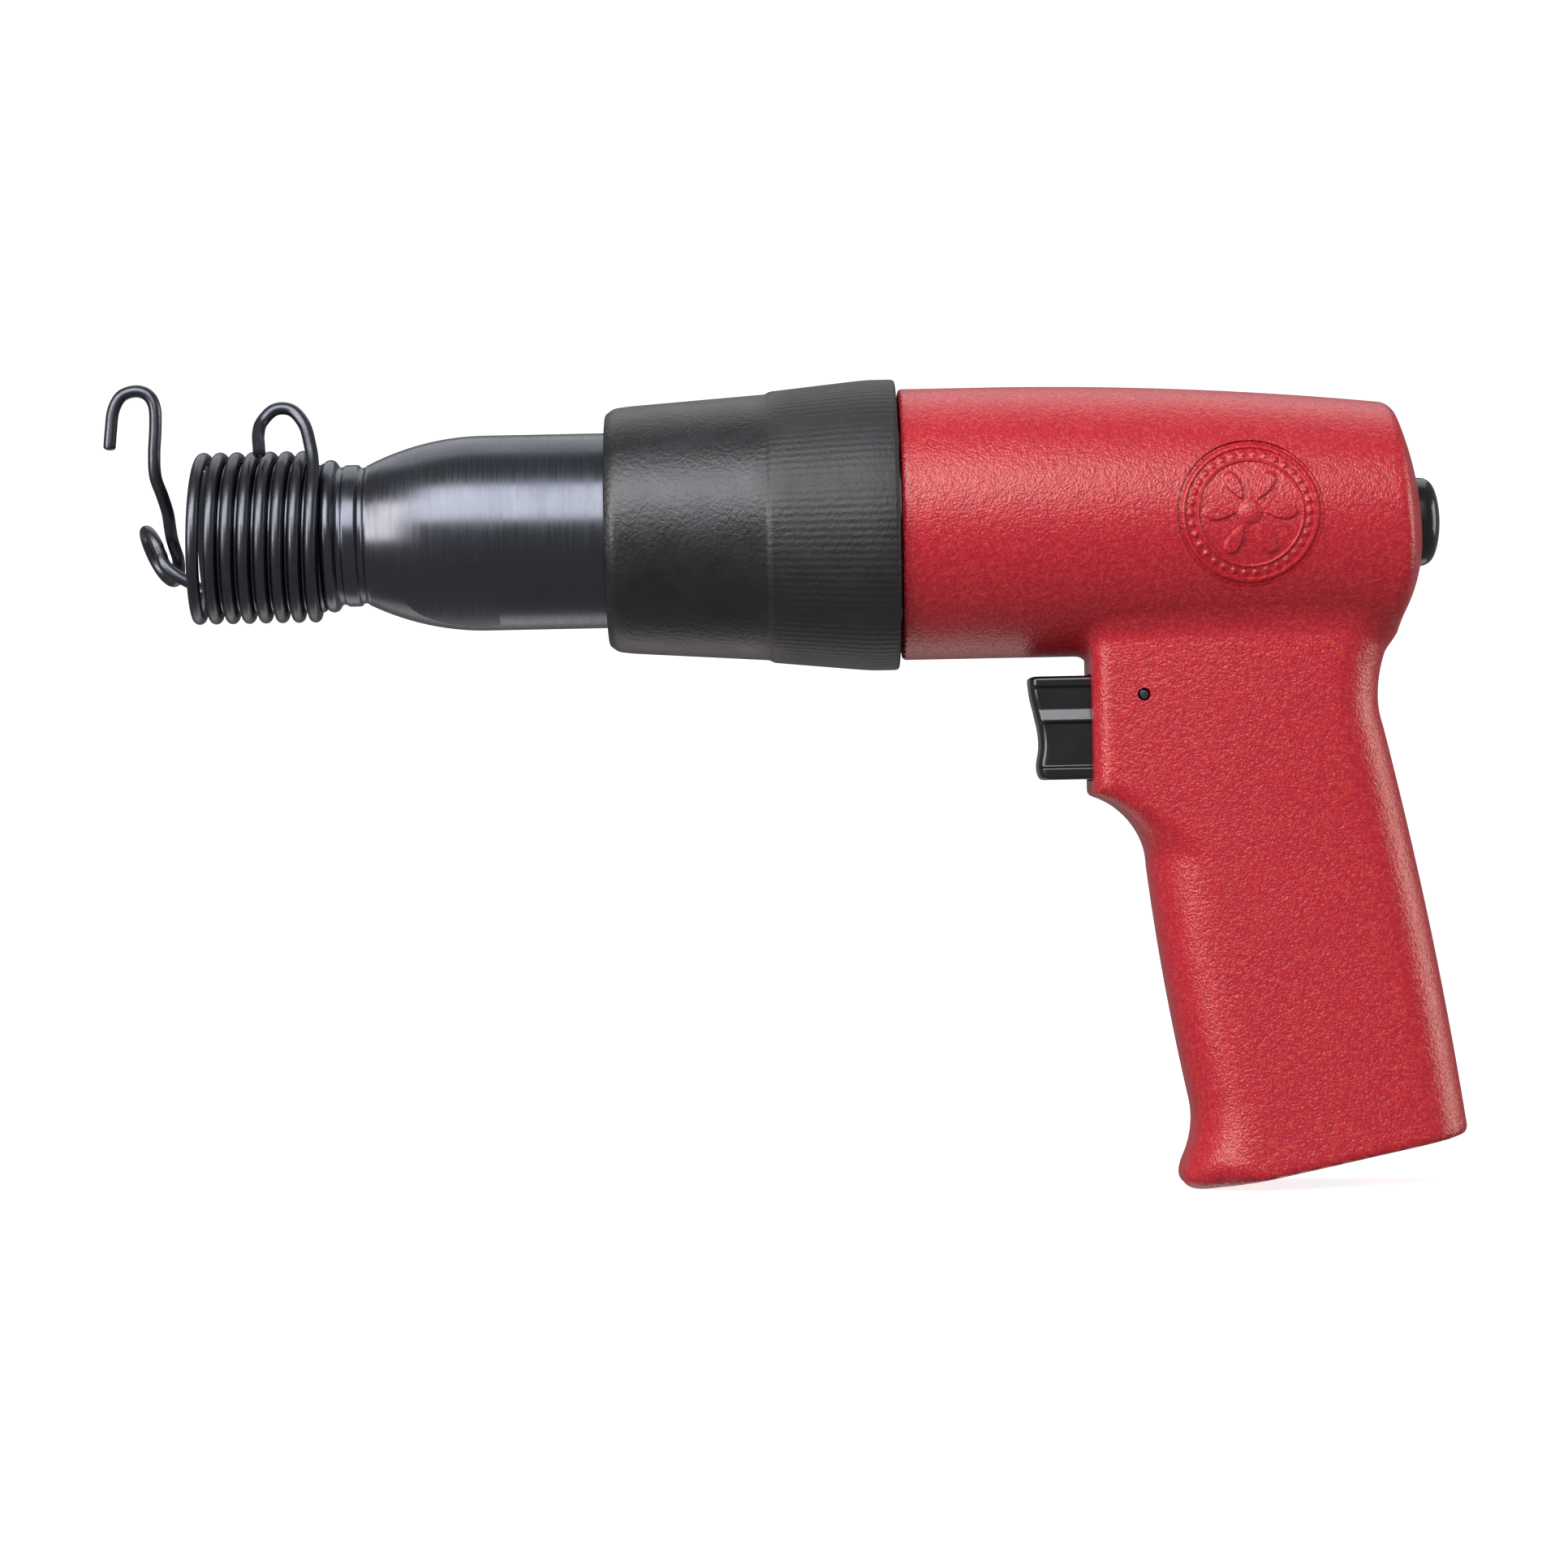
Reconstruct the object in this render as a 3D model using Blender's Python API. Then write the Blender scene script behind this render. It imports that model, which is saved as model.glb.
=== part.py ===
"""Pneumatic rivet gun: a pistol-grip air hammer with a screw-on wire retainer.

The tool is drawn in its own axes, in millimetres, and hung on one empty:
  X runs along the barrel, from the muzzle (-X) to the back of the housing (+X),
  Y runs across the tool, Z is up, and the barrel's axis is Y = Z = 0.
  X = 0 is the front face of the housing, where the rubber sleeve ends.
The empty shifts that frame so that the world origin is the middle of the whole tool's box.
"""
import math

import bmesh
import bpy
import numpy as np
from mathutils import Matrix, Vector

MM = 0.001                     # every length below is in millimetres
GAP = 0.3                      # clearance between pieces that touch

# ---- where the tool's own axes sit in the world
TOOL_OFFSET = (25.0, 0.0, 51.8)

# ---- barrel and piston
MUZZLE_X = -141.0              # front face of the nose
SHANK_BORE_R = 5.15            # takes a 10.2 mm (.401) tool shank
SHANK_BORE_LENGTH = 32.0
NOSE_R = 14.4                  # plain collar behind the rope thread
BARREL_R = 19.8
BARREL_REAR_X = 22.0
THREAD_R = 21.0                # rear thread in the housing
OGIVE_REAR_X = -84.0           # where the nose curve runs out into the barrel
OGIVE_FRONT_X = -107.5
CYLINDER_R = 9.55              # 19.1 mm piston bore
PISTON_R = 9.25
PISTON_LENGTH = 38.0
FLAT_HALF = 17.45              # wrench flats, half the distance across
FLAT_ANGLE = 49.0              # degrees below the horizontal, on the near side
FLAT_FRONT_X = -103.0
FLAT_REAR_X = -81.0
PORT_X = -32.0                 # exhaust ports, under the sleeve

# ---- rubber exhaust sleeve
SLEEVE_FRONT_X = -59.3
SLEEVE_REAR_X = -0.5
SLEEVE_FRONT_R = 25.1
SLEEVE_REAR_R = 29.5
SLEEVE_LIP_R = 22.4            # inner radius of the open exhaust ring
SLEEVE_GRIP_X = -20.0          # from here back the sleeve grips the barrel
BEAD_X = -11.0                 # bead in the sleeve, groove in the barrel

# ---- wire retainer
COIL_R = 16.2                  # to the middle of the wire
WIRE_R = 1.3
COIL_PITCH = 3.37
COIL_FRONT_X = -143.1
COIL_START = -40.0             # degrees from +Y, where the coil begins low on the far side
COIL_TURNS = 7.49
LOOP_R = 5.8
LOOP_CENTRE = (-154.3, 20.4, -2.6)
LOOP_AXIS = (0.88, 0.34, 0.32)
LOOP_PITCH = 3.4               # along the loop's axis, over its whole turn

# ---- housing: barrel body
BODY_R = 27.5
TAPER_START_X = 17.0           # the top line starts to fall here
TAPER_RATE = 0.00069           # fall in mm per mm squared
REAR_X = 105.6                 # furthest point of the domed rear face
REAR_Z = -5.0                  # its height
REAR_UPPER_R = 64.0
REAR_LOWER_R = 32.0
REAR_PLAN_R = 125.0            # the dome's radius seen from above
REAR_EDGE_R = 2.8

# ---- housing: grip
BOSS_X = 37.8                  # flat face that the trigger comes out of
THROAT_CENTRE = (34.3, -70.0)  # hollow under the trigger
THROAT_R = 14.65
WEB_CENTRE_Z = -37.0           # hollow at the back for the web of the hand
WEB_X = 95.8
WEB_R = 18.0
WEB_TOP_REACH = 8.5            # the hollow stops this far above its centre, under the body
GRIP_HALF_WIDTH = 16.2
BASE_FRONT = (58.8, -135.7)    # the sloping base runs from here
BASE_REAR = (112.2, -125.0)    # to here
TOE_R = 4.5

# ---- trigger and throttle
THROTTLE_Z = -42.0
TRIGGER_HEIGHT = 21.0
TRIGGER_HALF_WIDTH = 7.0
TRIGGER_REAR_X = 51.2
TRIGGER_TRAVEL = 5.0
PIN_X = 47.8
PIN_Z = -35.7
PIN_R = 1.0
POCKET_REAR_X = 57.0
THROTTLE_BORE_R = 7.3
THROTTLE_BORE_END_X = 88.0
DELIVERY_X = 62.7              # passage from the throttle up to the regulator

# ---- valve chest
CHEST_R = 21.3
CHEST_REAR_X = 44.5
VALVE_TRAVEL = 1.0
DOWEL_RADIUS = 17.0

# ---- power regulator
REGULATOR_Z = -1.5
REGULATOR_BORE_R = 7.0
KNOB_R = 9.0
KNOB_REAR_X = 109.6

# ---- air inlet, in the base of the grip
INLET_RECESS = 0.3             # the bushing sits this far inside the base
INLET_OUTER_R = 9.5
INLET_BORE_R = 5.9             # 1/4 inch pipe thread
INLET_DEPTH = 17.0
SUPPLY_R = 4.0

ROUND = 36                     # sides of a large turned piece
SMALL = 20                     # sides of a small one


# ---------------------------------------------------------------- helpers
def clear_scene():
    for old in list(bpy.data.objects):
        bpy.data.objects.remove(old, do_unlink=True)


def finish(name, colour, roughness, metallic):
    """A plain Principled material."""
    made = bpy.data.materials.new(name)
    made.use_nodes = True
    shader = made.node_tree.nodes["Principled BSDF"]
    shader.inputs["Base Color"].default_value = (*colour, 1.0)
    shader.inputs["Roughness"].default_value = roughness
    shader.inputs["Metallic"].default_value = metallic
    return made


def add_object(name, mesh, material=None):
    """An object on the tool's empty, shaded smooth up to 35 degrees."""
    made = bpy.data.objects.new(name, mesh)
    bpy.context.collection.objects.link(made)
    made.parent = TOOL
    if material is not None:
        mesh.materials.append(material)
    mesh.shade_smooth()
    mesh.set_sharp_from_angle(angle=math.radians(35))
    return made


def mesh_from(name, points, faces, matrix=None):
    """A mesh from points in mm, with its faces turned outwards."""
    work = bmesh.new()
    verts = [work.verts.new(Vector(p) * MM) for p in points]
    for face in faces:
        work.faces.new([verts[i] for i in face])
    if matrix is not None:
        bmesh.ops.transform(work, matrix=matrix, verts=work.verts)
    bmesh.ops.recalc_face_normals(work, faces=work.faces)
    mesh = bpy.data.meshes.new(name)
    work.to_mesh(mesh)
    work.free()
    return mesh


def as_cutter(cutter):
    cutter.hide_render = True
    cutter.display_type = "WIRE"
    return cutter


def boolean(target, tool, operation="DIFFERENCE"):
    step = target.modifiers.new(tool.name, "BOOLEAN")
    step.operation = operation
    step.solver = "EXACT"
    step.object = as_cutter(tool)


def turned_mesh(name, profile, steps, matrix=None, start=0.0):
    """A solid of revolution about X.  profile is a list of (x, r) going round the section;
    a point with r = 0 is a pole, and then the section is open along the axis."""
    points = []
    rows = []
    for x, r in profile:
        if r == 0.0:
            rows.append([len(points)] * steps)
            points.append((x, 0.0, 0.0))
            continue
        rows.append(list(range(len(points), len(points) + steps)))
        for k in range(steps):
            turn = start + 2.0 * math.pi * k / steps
            points.append((x, r * math.cos(turn), r * math.sin(turn)))
    pairs = list(zip(rows, rows[1:]))
    if profile[0][1] > 0.0:
        pairs.append((rows[-1], rows[0]))
    faces = []
    for a, b in pairs:
        for k in range(steps):
            n = (k + 1) % steps
            ring = [a[k], a[n], b[n], b[k]]
            face = [v for i, v in enumerate(ring) if v not in ring[:i]]
            if len(face) > 2:
                faces.append(face)
    return mesh_from(name, points, faces, matrix)


def turned(name, profile, material=None, steps=ROUND, at=(0, 0, 0), axis=(1, 0, 0), start=0.0):
    """A turned piece whose own X axis is laid along axis, with its origin at a point of that axis."""
    mesh = turned_mesh(name, profile, steps, start=start)
    made = add_object(name, mesh, material)
    turn = Vector((1, 0, 0)).rotation_difference(Vector(axis)).to_matrix().to_4x4()
    made.matrix_local = Matrix.Translation(Vector(at) * MM) @ turn
    return made


def rod(name, x0, x1, radius, material=None, steps=SMALL, at=(0, 0, 0), axis=(1, 0, 0)):
    return turned(name, [(x0, 0.0), (x0, radius), (x1, radius), (x1, 0.0)], material, steps, at, axis)


def washer(name, x0, x1, inner, outer, material=None, steps=ROUND, at=(0, 0, 0), axis=(1, 0, 0)):
    section = [(x0, inner), (x0, outer), (x1, outer), (x1, inner)]
    return turned(name, section, material, steps, at, axis)


def o_ring(name, x, middle_r, wire_r, material, at=(0, 0, 0), axis=(1, 0, 0)):
    corners = [2.0 * math.pi * k / 6 for k in range(6)]
    section = [(x + wire_r * math.sin(a), middle_r + wire_r * math.cos(a)) for a in corners]
    return turned(name, section, material, 24, at, axis)


def extruded_mesh(name, outline, half_width):
    """A side outline of (x, z) points carried from -half_width to +half_width along Y."""
    count = len(outline)
    points = [(x, -half_width, z) for x, z in outline] + [(x, half_width, z) for x, z in outline]
    faces = [list(range(count)), list(range(2 * count - 1, count - 1, -1))]
    for k in range(count):
        n = (k + 1) % count
        faces.append([k, n, n + count, k + count])
    return mesh_from(name, points, faces)


def block(name, low, high, material=None):
    outline = [(low[0], low[2]), (high[0], low[2]), (high[0], high[2]), (low[0], high[2])]
    half = (high[1] - low[1]) / 2.0
    made = add_object(name, extruded_mesh(name, outline, half), material)
    made.location = Vector((0.0, (high[1] + low[1]) / 2.0, 0.0)) * MM
    return made


def lofted_mesh(name, rings):
    """Rings of equal length joined in order; the first and last are closed with a flat face."""
    count = len(rings[0])
    points = [p for ring in rings for p in ring]
    faces = [list(range(count)), list(range(len(points) - 1, len(points) - count - 1, -1))]
    for i in range(len(rings) - 1):
        for k in range(count):
            n = (k + 1) % count
            a = i * count
            faces.append([a + k, a + n, a + n + count, a + k + count])
    return mesh_from(name, points, faces)


def wire(name, points, radius, material, resolution=1):
    """A round wire along points in mm, as a bevelled curve with closed ends."""
    curve = bpy.data.curves.new(name, "CURVE")
    curve.dimensions = "3D"
    curve.bevel_depth = radius * MM
    curve.bevel_resolution = resolution
    curve.use_fill_caps = True
    spline = curve.splines.new("POLY")
    spline.points.add(len(points) - 1)
    for knot, p in zip(spline.points, points):
        knot.co = (*(Vector(p) * MM), 1.0)
    curve.materials.append(material)
    made = bpy.data.objects.new(name, curve)
    bpy.context.collection.objects.link(made)
    made.parent = TOOL
    return made


def smooth_route(knots, per_span=6):
    """A Catmull-Rom curve through the knots."""
    p = np.array([knots[0], *knots, knots[-1]], float)
    out = []
    for i in range(1, len(p) - 2):
        for t in np.arange(per_span) / per_span:
            a, b, c, d = p[i - 1], p[i], p[i + 1], p[i + 2]
            out.append(0.5 * (2 * b + (c - a) * t + (2 * a - 5 * b + 4 * c - d) * t**2
                              + (3 * b - a - 3 * c + d) * t**3))
    out.append(p[-1])
    return [tuple(q) for q in out]


def arc(centre, radius, start, end, count):
    """Points of an arc in the X-Z plane, angles in degrees from +X towards +Z."""
    turns = np.radians(np.linspace(start, end, count))
    return [(centre[0] + radius * math.cos(a), centre[1] + radius * math.sin(a)) for a in turns]


# ---------------------------------------------------------------- housing
def rear_face_x(z):
    """The rear face: one arc above its furthest point and a tighter one below."""
    reach = z - REAR_Z
    radius = REAR_UPPER_R if reach > 0 else REAR_LOWER_R
    return REAR_X - (radius - math.sqrt(radius**2 - reach**2))


def body_ring(share, edge_turn=0.0, shrink=1.0, count=ROUND):
    """One ring of the barrel body: share is 0 at the front face and 1 where the rear edge
    starts to turn in, edge_turn runs round that edge, and shrink closes the rear face."""
    ring = []
    for k in range(count):
        turn = 2.0 * math.pi * k / count
        along = share * (REAR_X - REAR_EDGE_R)
        drop = TAPER_RATE * max(0.0, along - TAPER_START_X) ** 2
        up = BODY_R - drop if math.sin(turn) > 0 else BODY_R
        side = BODY_R - 0.5 * drop
        inset = REAR_EDGE_R * (1.0 - math.cos(edge_turn))
        y = (side - inset) * math.cos(turn) * shrink
        z = (up - inset) * math.sin(turn) * shrink
        back = rear_face_x(z) - y**2 / (2.0 * REAR_PLAN_R) - REAR_EDGE_R * (1.0 - math.sin(edge_turn))
        ring.append((share * back, y, z))
    return ring


def body_mesh():
    rings = [body_ring(s) for s in (0.0, 0.17, 0.35, 0.5, 0.62, 0.73, 0.83, 0.92, 1.0)]
    rings += [body_ring(1.0, math.radians(a)) for a in (35, 70, 90)]
    rings += [body_ring(1.0, math.pi / 2, s) for s in (0.7, 0.4)]
    return lofted_mesh("body", rings)


def grip_back_x(z):
    """Back of the grip: the hollow for the web of the hand, then a long easy curve."""
    if z > WEB_CENTRE_Z - 6.0:
        reach = min(abs(z - WEB_CENTRE_Z), WEB_TOP_REACH)
        return WEB_X + WEB_R - math.sqrt(WEB_R**2 - reach**2)
    down = -43.0 - z
    return 96.8 + 0.245 * down - 0.0007 * down**2


def grip_front_x(z):
    """Front of the grip: the trigger boss, the hollow under it, then the finger side
    with its flare above the toe."""
    throat_top = THROAT_CENTRE[1] + math.sqrt(THROAT_R**2 - (BOSS_X - THROAT_CENTRE[0]) ** 2)
    if z > throat_top:
        return BOSS_X
    if z > THROAT_CENTRE[1]:
        rise = z - THROAT_CENTRE[1]
        return THROAT_CENTRE[0] + math.sqrt(THROAT_R**2 - rise**2)
    down = THROAT_CENTRE[1] - z
    flare = max(0.0, (down - 48.0) / 14.0)
    return THROAT_CENTRE[0] + THROAT_R + 0.113 * down + 0.00105 * down**2 - 5.8 * flare**2


def grip_ring(front, back, half_width, front_r, back_r):
    """A rounded rectangle between two points of the side outline, tilted as their line is."""
    length = back[0] - front[0]
    slope = (back[1] - front[1]) / length
    ring = []
    for radius, corner_x, turns in (
        (back_r, length - back_r, np.linspace(0, 90, 5)),
        (front_r, front_r, np.linspace(90, 180, 6)),
    ):
        for a in np.radians(turns):
            ring.append((corner_x + radius * math.cos(a), half_width - radius + radius * math.sin(a)))
    ring += [(x, -y) for x, y in reversed(ring)]
    return [(front[0] + x, y, front[1] + slope * x) for x, y in ring]


def grip_mesh():
    """The grip from inside the body down to its sloping base."""
    levels = [-12.0, -26.0, -31.0, -36.0, -41.0, -48.0, -55.6, -57.0, -58.6, -60.6, -63.0, -66.0, -70.0,
              -80.0, -92.0, -104.0, -114.0, -120.0, -124.5, -128.2, -131.2]
    rings = []
    for z in levels:
        down = max(0.0, THROAT_CENTRE[1] - z)
        back_z = z + 0.133 * down
        width = GRIP_HALF_WIDTH + 2.0 * (down / 66.0) ** 2 + 0.9 * max(0.0, (z + 60.0) / 40.0)
        blend = min(1.0, max(0.0, (-56.0 - z) / 14.0))
        front_r = 5.0 + 7.5 * blend
        front = (grip_front_x(z), z)
        rings.append(grip_ring(front, (grip_back_x(back_z), back_z), width, front_r, 10.0))
    toe_centre = (BASE_FRONT[0], BASE_FRONT[1] + TOE_R)
    last_width = GRIP_HALF_WIDTH + 1.8
    for x, z in arc(toe_centre, TOE_R, 205, 270, 4):
        share = (toe_centre[1] - z) / TOE_R
        back_z = BASE_REAR[1] + 1.9 * (1.0 - share)
        back = (grip_back_x(back_z), back_z)
        rings.append(grip_ring((x, z), back, last_width - 0.8 * share**2, 12.5, 9.5))
    return lofted_mesh("grip", rings)


def rounded_slot_outline(x0, x1, z0, z1, radius):
    """A side outline with four round corners."""
    return (arc((x1 - radius, z1 - radius), radius, 0, 90, 4)
            + arc((x0 + radius, z1 - radius), radius, 90, 180, 4)
            + arc((x0 + radius, z0 + radius), radius, 180, 270, 4)
            + arc((x1 - radius, z0 + radius), radius, 270, 360, 4))


def inlet_axis():
    """Up the grip from the inlet, square to the base."""
    along = Vector((BASE_REAR[0] - BASE_FRONT[0], 0.0, BASE_REAR[1] - BASE_FRONT[1])).normalized()
    return Vector((-along.z, 0.0, along.x))


def inlet_place():
    """The middle of the base, moved in by the bushing's recess."""
    middle = Vector((BASE_REAR[0] + BASE_FRONT[0], 0.0, BASE_REAR[1] + BASE_FRONT[1])) / 2.0
    return middle + inlet_axis() * INLET_RECESS


def build_housing(red):
    """One casting: the barrel body and the grip, with the chest, throttle, regulator, supply
    and trigger bores machined into it."""
    housing = add_object("handle_housing", body_mesh(), red)
    boolean(housing, add_object("grip_form", grip_mesh()), "UNION")
    boolean(housing, rod("chest_bore", -1.0, CHEST_REAR_X, CHEST_R, steps=ROUND))
    at_regulator = (0.0, 0.0, REGULATOR_Z)
    at_throttle = (0.0, 0.0, THROTTLE_Z)
    bore = REGULATOR_BORE_R
    stepped = [(CHEST_REAR_X - 1.0, 0.0), (CHEST_REAR_X - 1.0, bore), (92.0, bore), (92.0, bore + 1.1),
               (93.6, bore + 1.1), (93.6, bore), (101.3, bore), (101.3, KNOB_R + 0.5),
               (115.0, KNOB_R + 0.5), (115.0, 0.0)]
    boolean(housing, turned("regulator_bore", stepped, at=at_regulator, steps=24))
    high = THROTTLE_Z + TRIGGER_HEIGHT / 2 + GAP
    low = THROTTLE_Z - TRIGGER_HEIGHT / 2 - GAP
    half = TRIGGER_HALF_WIDTH + GAP
    boolean(housing, block("trigger_pocket", (BOSS_X - 5.0, -half, low), (POCKET_REAR_X, half, high)))
    throttle = rod("throttle_bore", POCKET_REAR_X - 1.0, THROTTLE_BORE_END_X, THROTTLE_BORE_R,
                   at=at_throttle, steps=24)
    boolean(housing, throttle)
    rise = rod("delivery_passage", 0.0, REGULATOR_Z - THROTTLE_Z, 3.0, at=(DELIVERY_X, 0.0, THROTTLE_Z),
               axis=(0, 0, 1), steps=12)
    boolean(housing, rise)
    deep = INLET_DEPTH
    inlet = [(-4.0, 0.0), (-4.0, INLET_OUTER_R + GAP), (deep, INLET_OUTER_R + GAP),
             (deep, 8.1), (deep + 1.8, 8.1), (deep + 1.8, SUPPLY_R), (92.0, SUPPLY_R), (92.0, 0.0)]
    boolean(housing, turned("inlet_bore", inlet, at=inlet_place(), axis=inlet_axis(), steps=24))
    boolean(housing, rod("pin_hole", -25.0, 25.0, PIN_R + GAP, at=(PIN_X, 0.0, PIN_Z), axis=(0, 1, 0),
                         steps=12))
    return housing


# ---------------------------------------------------------------- barrel group
def nose_curve(count=7):
    """The swell from the nose collar to the barrel: an arc that ends level with the barrel."""
    run = OGIVE_REAR_X - OGIVE_FRONT_X
    rise = BARREL_R - NOSE_R
    radius = (run**2 + rise**2) / (2.0 * rise)
    xs = np.linspace(OGIVE_FRONT_X, OGIVE_REAR_X, count)
    return [(x, BARREL_R - radius + math.sqrt(radius**2 - (OGIVE_REAR_X - x) ** 2)) for x in xs]


def build_barrel(steel):
    """The barrel: threaded nose, plain bore for the tool shank, cylinder for the piston."""
    socket_x = MUZZLE_X + SHANK_BORE_LENGTH
    outside = [(MUZZLE_X, NOSE_R - 1.0), (MUZZLE_X + 1.0, NOSE_R), (-116.4, NOSE_R), (-115.2, 15.6),
               (-113.6, NOSE_R)]
    outside += nose_curve()
    outside += [(SLEEVE_GRIP_X, BARREL_R), (BEAD_X - 2.5, BARREL_R), (BEAD_X - 1.7, BARREL_R - 1.4),
                (BEAD_X + 1.7, BARREL_R - 1.4), (BEAD_X + 2.5, BARREL_R), (0.6, BARREL_R),
                (1.6, THREAD_R), (BARREL_REAR_X - 1.0, THREAD_R), (BARREL_REAR_X, THREAD_R - 1.0)]
    inside = [(BARREL_REAR_X, CYLINDER_R), (socket_x, CYLINDER_R), (socket_x, SHANK_BORE_R),
              (MUZZLE_X + 0.8, SHANK_BORE_R), (MUZZLE_X, SHANK_BORE_R + 0.8)]
    barrel = turned("barrel", outside + inside, steel)
    reach = 12.0
    tilt = math.radians(FLAT_ANGLE)
    for side, name in ((-1.0, "near_flat"), (1.0, "far_flat")):
        across = Vector((0.0, side * math.cos(tilt), side * math.sin(tilt)))
        cutter = block(name, (FLAT_FRONT_X, -25.0, 0.0), (FLAT_REAR_X, 25.0, reach))
        turn = Vector((0, 0, 1)).rotation_difference(across).to_matrix().to_4x4()
        cutter.matrix_local = Matrix.Translation(across * FLAT_HALF * MM) @ turn
        boolean(barrel, cutter)
    for name, axis in (("port_across", (0, 1, 0)), ("port_upright", (0, 0, 1))):
        boolean(barrel, rod(name, -25.0, 25.0, 2.4, at=(PORT_X, 0.0, 0.0), axis=axis, steps=10))
    return barrel


def build_sleeve(rubber):
    """The rubber sleeve: a cone with a rounded front, open round the barrel at the front so
    that the exhaust leaves there, and gripping the barrel at the back with a bead."""
    front = SLEEVE_FRONT_X
    lip = [(front, SLEEVE_LIP_R), (front, SLEEVE_LIP_R + 0.9), (front + 0.6, SLEEVE_LIP_R + 1.7),
           (front + 2.0, SLEEVE_FRONT_R - 0.4), (front + 5.0, SLEEVE_FRONT_R)]
    cone = [(-27.0, 27.0), (-25.5, 27.6), (-9.0, SLEEVE_REAR_R - 0.2), (-6.0, SLEEVE_REAR_R),
            (SLEEVE_REAR_X - 1.2, SLEEVE_REAR_R), (SLEEVE_REAR_X, SLEEVE_REAR_R - 1.2)]
    grip_r = BARREL_R + GAP
    inside = [(SLEEVE_REAR_X, grip_r), (BEAD_X + 2.1, grip_r), (BEAD_X + 1.3, grip_r - 1.2),
              (BEAD_X - 1.3, grip_r - 1.2), (BEAD_X - 2.1, grip_r), (SLEEVE_GRIP_X, grip_r),
              (SLEEVE_GRIP_X - 2.0, SLEEVE_LIP_R)]
    turned("exhaust_sleeve", lip + cone + inside, rubber)


def build_piston(steel):
    """The piston at the back of its stroke; its origin is on the barrel's axis."""
    rear = BARREL_REAR_X - GAP
    front = rear - PISTON_LENGTH
    section = [(front, 0.0), (front, 4.6), (front + 5.0, 4.6), (front + 6.0, PISTON_R - 0.8),
               (front + 6.8, PISTON_R), (rear - 0.8, PISTON_R), (rear, PISTON_R - 0.8), (rear, 0.0)]
    turned("piston", section, steel, steps=24)


# ---------------------------------------------------------------- wire retainer
def loop_frame():
    """Centre, axis and two directions in the plane of the retainer's small loop."""
    centre = np.array(LOOP_CENTRE)
    axis = np.array(LOOP_AXIS) / np.linalg.norm(LOOP_AXIS)
    down = np.array((0.35, 0.0, -0.94))
    down -= axis * down.dot(axis)
    down /= np.linalg.norm(down)
    inner = np.cross(down, axis)
    return centre, axis, down, inner


def loop_point(turn, advance):
    """A point of the loop: turn in degrees from its inner side, rising first."""
    centre, axis, down, inner = loop_frame()
    a = math.radians(turn)
    return tuple(centre + LOOP_R * (math.cos(a) * inner - math.sin(a) * down) + axis * advance)


def coil_point(turns):
    """A point of the coil: it starts low on the far side at the front and winds back."""
    a = math.radians(COIL_START) - 2.0 * math.pi * turns
    return (COIL_FRONT_X + COIL_PITCH * turns, COIL_R * math.cos(a), COIL_R * math.sin(a))


def build_retainer_spring(black_wire):
    """The coil screwed on the nose, its finger bail at the back, and the lead at the front
    that runs forward to the small loop."""
    lead = smooth_route([loop_point(-4.0, 0.0), (-151.4, 13.8, -4.4), (-149.0, 13.4, -6.6),
                         (-145.9, 13.4, -8.4)], 4)[:-1]
    steps = 20
    coil = [coil_point(k / steps) for k in range(0, int(COIL_TURNS * steps) + 1)]
    bail = smooth_route([coil[-1], (-118.0, -9.8, 14.2), (-118.7, -7.8, 18.2), (-120.0, -5.8, 22.4),
                         (-122.6, -4.6, 25.4), (-126.0, -4.5, 25.6), (-128.6, -5.4, 23.0),
                         (-129.1, -7.4, 20.4), (-128.8, -9.6, 18.0), (-128.5, -11.3, 15.9)], 3)
    wire("retainer_spring", lead + coil + bail[1:], WIRE_R, black_wire)


def build_retainer_hook(black_wire):
    """The small loop, the gate arm across the mouth and the finger hook above it."""
    loop = [loop_point(t, 0.0) for t in range(5, 65, 15)]
    loop += [loop_point(t, LOOP_PITCH * (t - 64.0) / 291.0) for t in range(64, 355, 15)]
    arm = smooth_route([loop[-1], (-149.9, 15.0, 0.6), (-150.0, 12.4, 3.2),
                        (-150.0, 9.4, 6.0), (-150.7, 6.9, 9.4), (-151.8, 5.4, 13.2), (-151.9, 4.8, 17.7),
                        (-151.5, 4.6, 23.4), (-151.6, 4.5, 27.4), (-152.9, 4.5, 29.9),
                        (-155.4, 4.5, 30.8), (-158.3, 4.5, 29.8), (-160.0, 4.5, 26.9),
                        (-160.6, 4.5, 22.9), (-161.0, 4.5, 18.7)], 3)
    wire("retainer_hook", loop[:-1] + arm, WIRE_R, black_wire)


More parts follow.
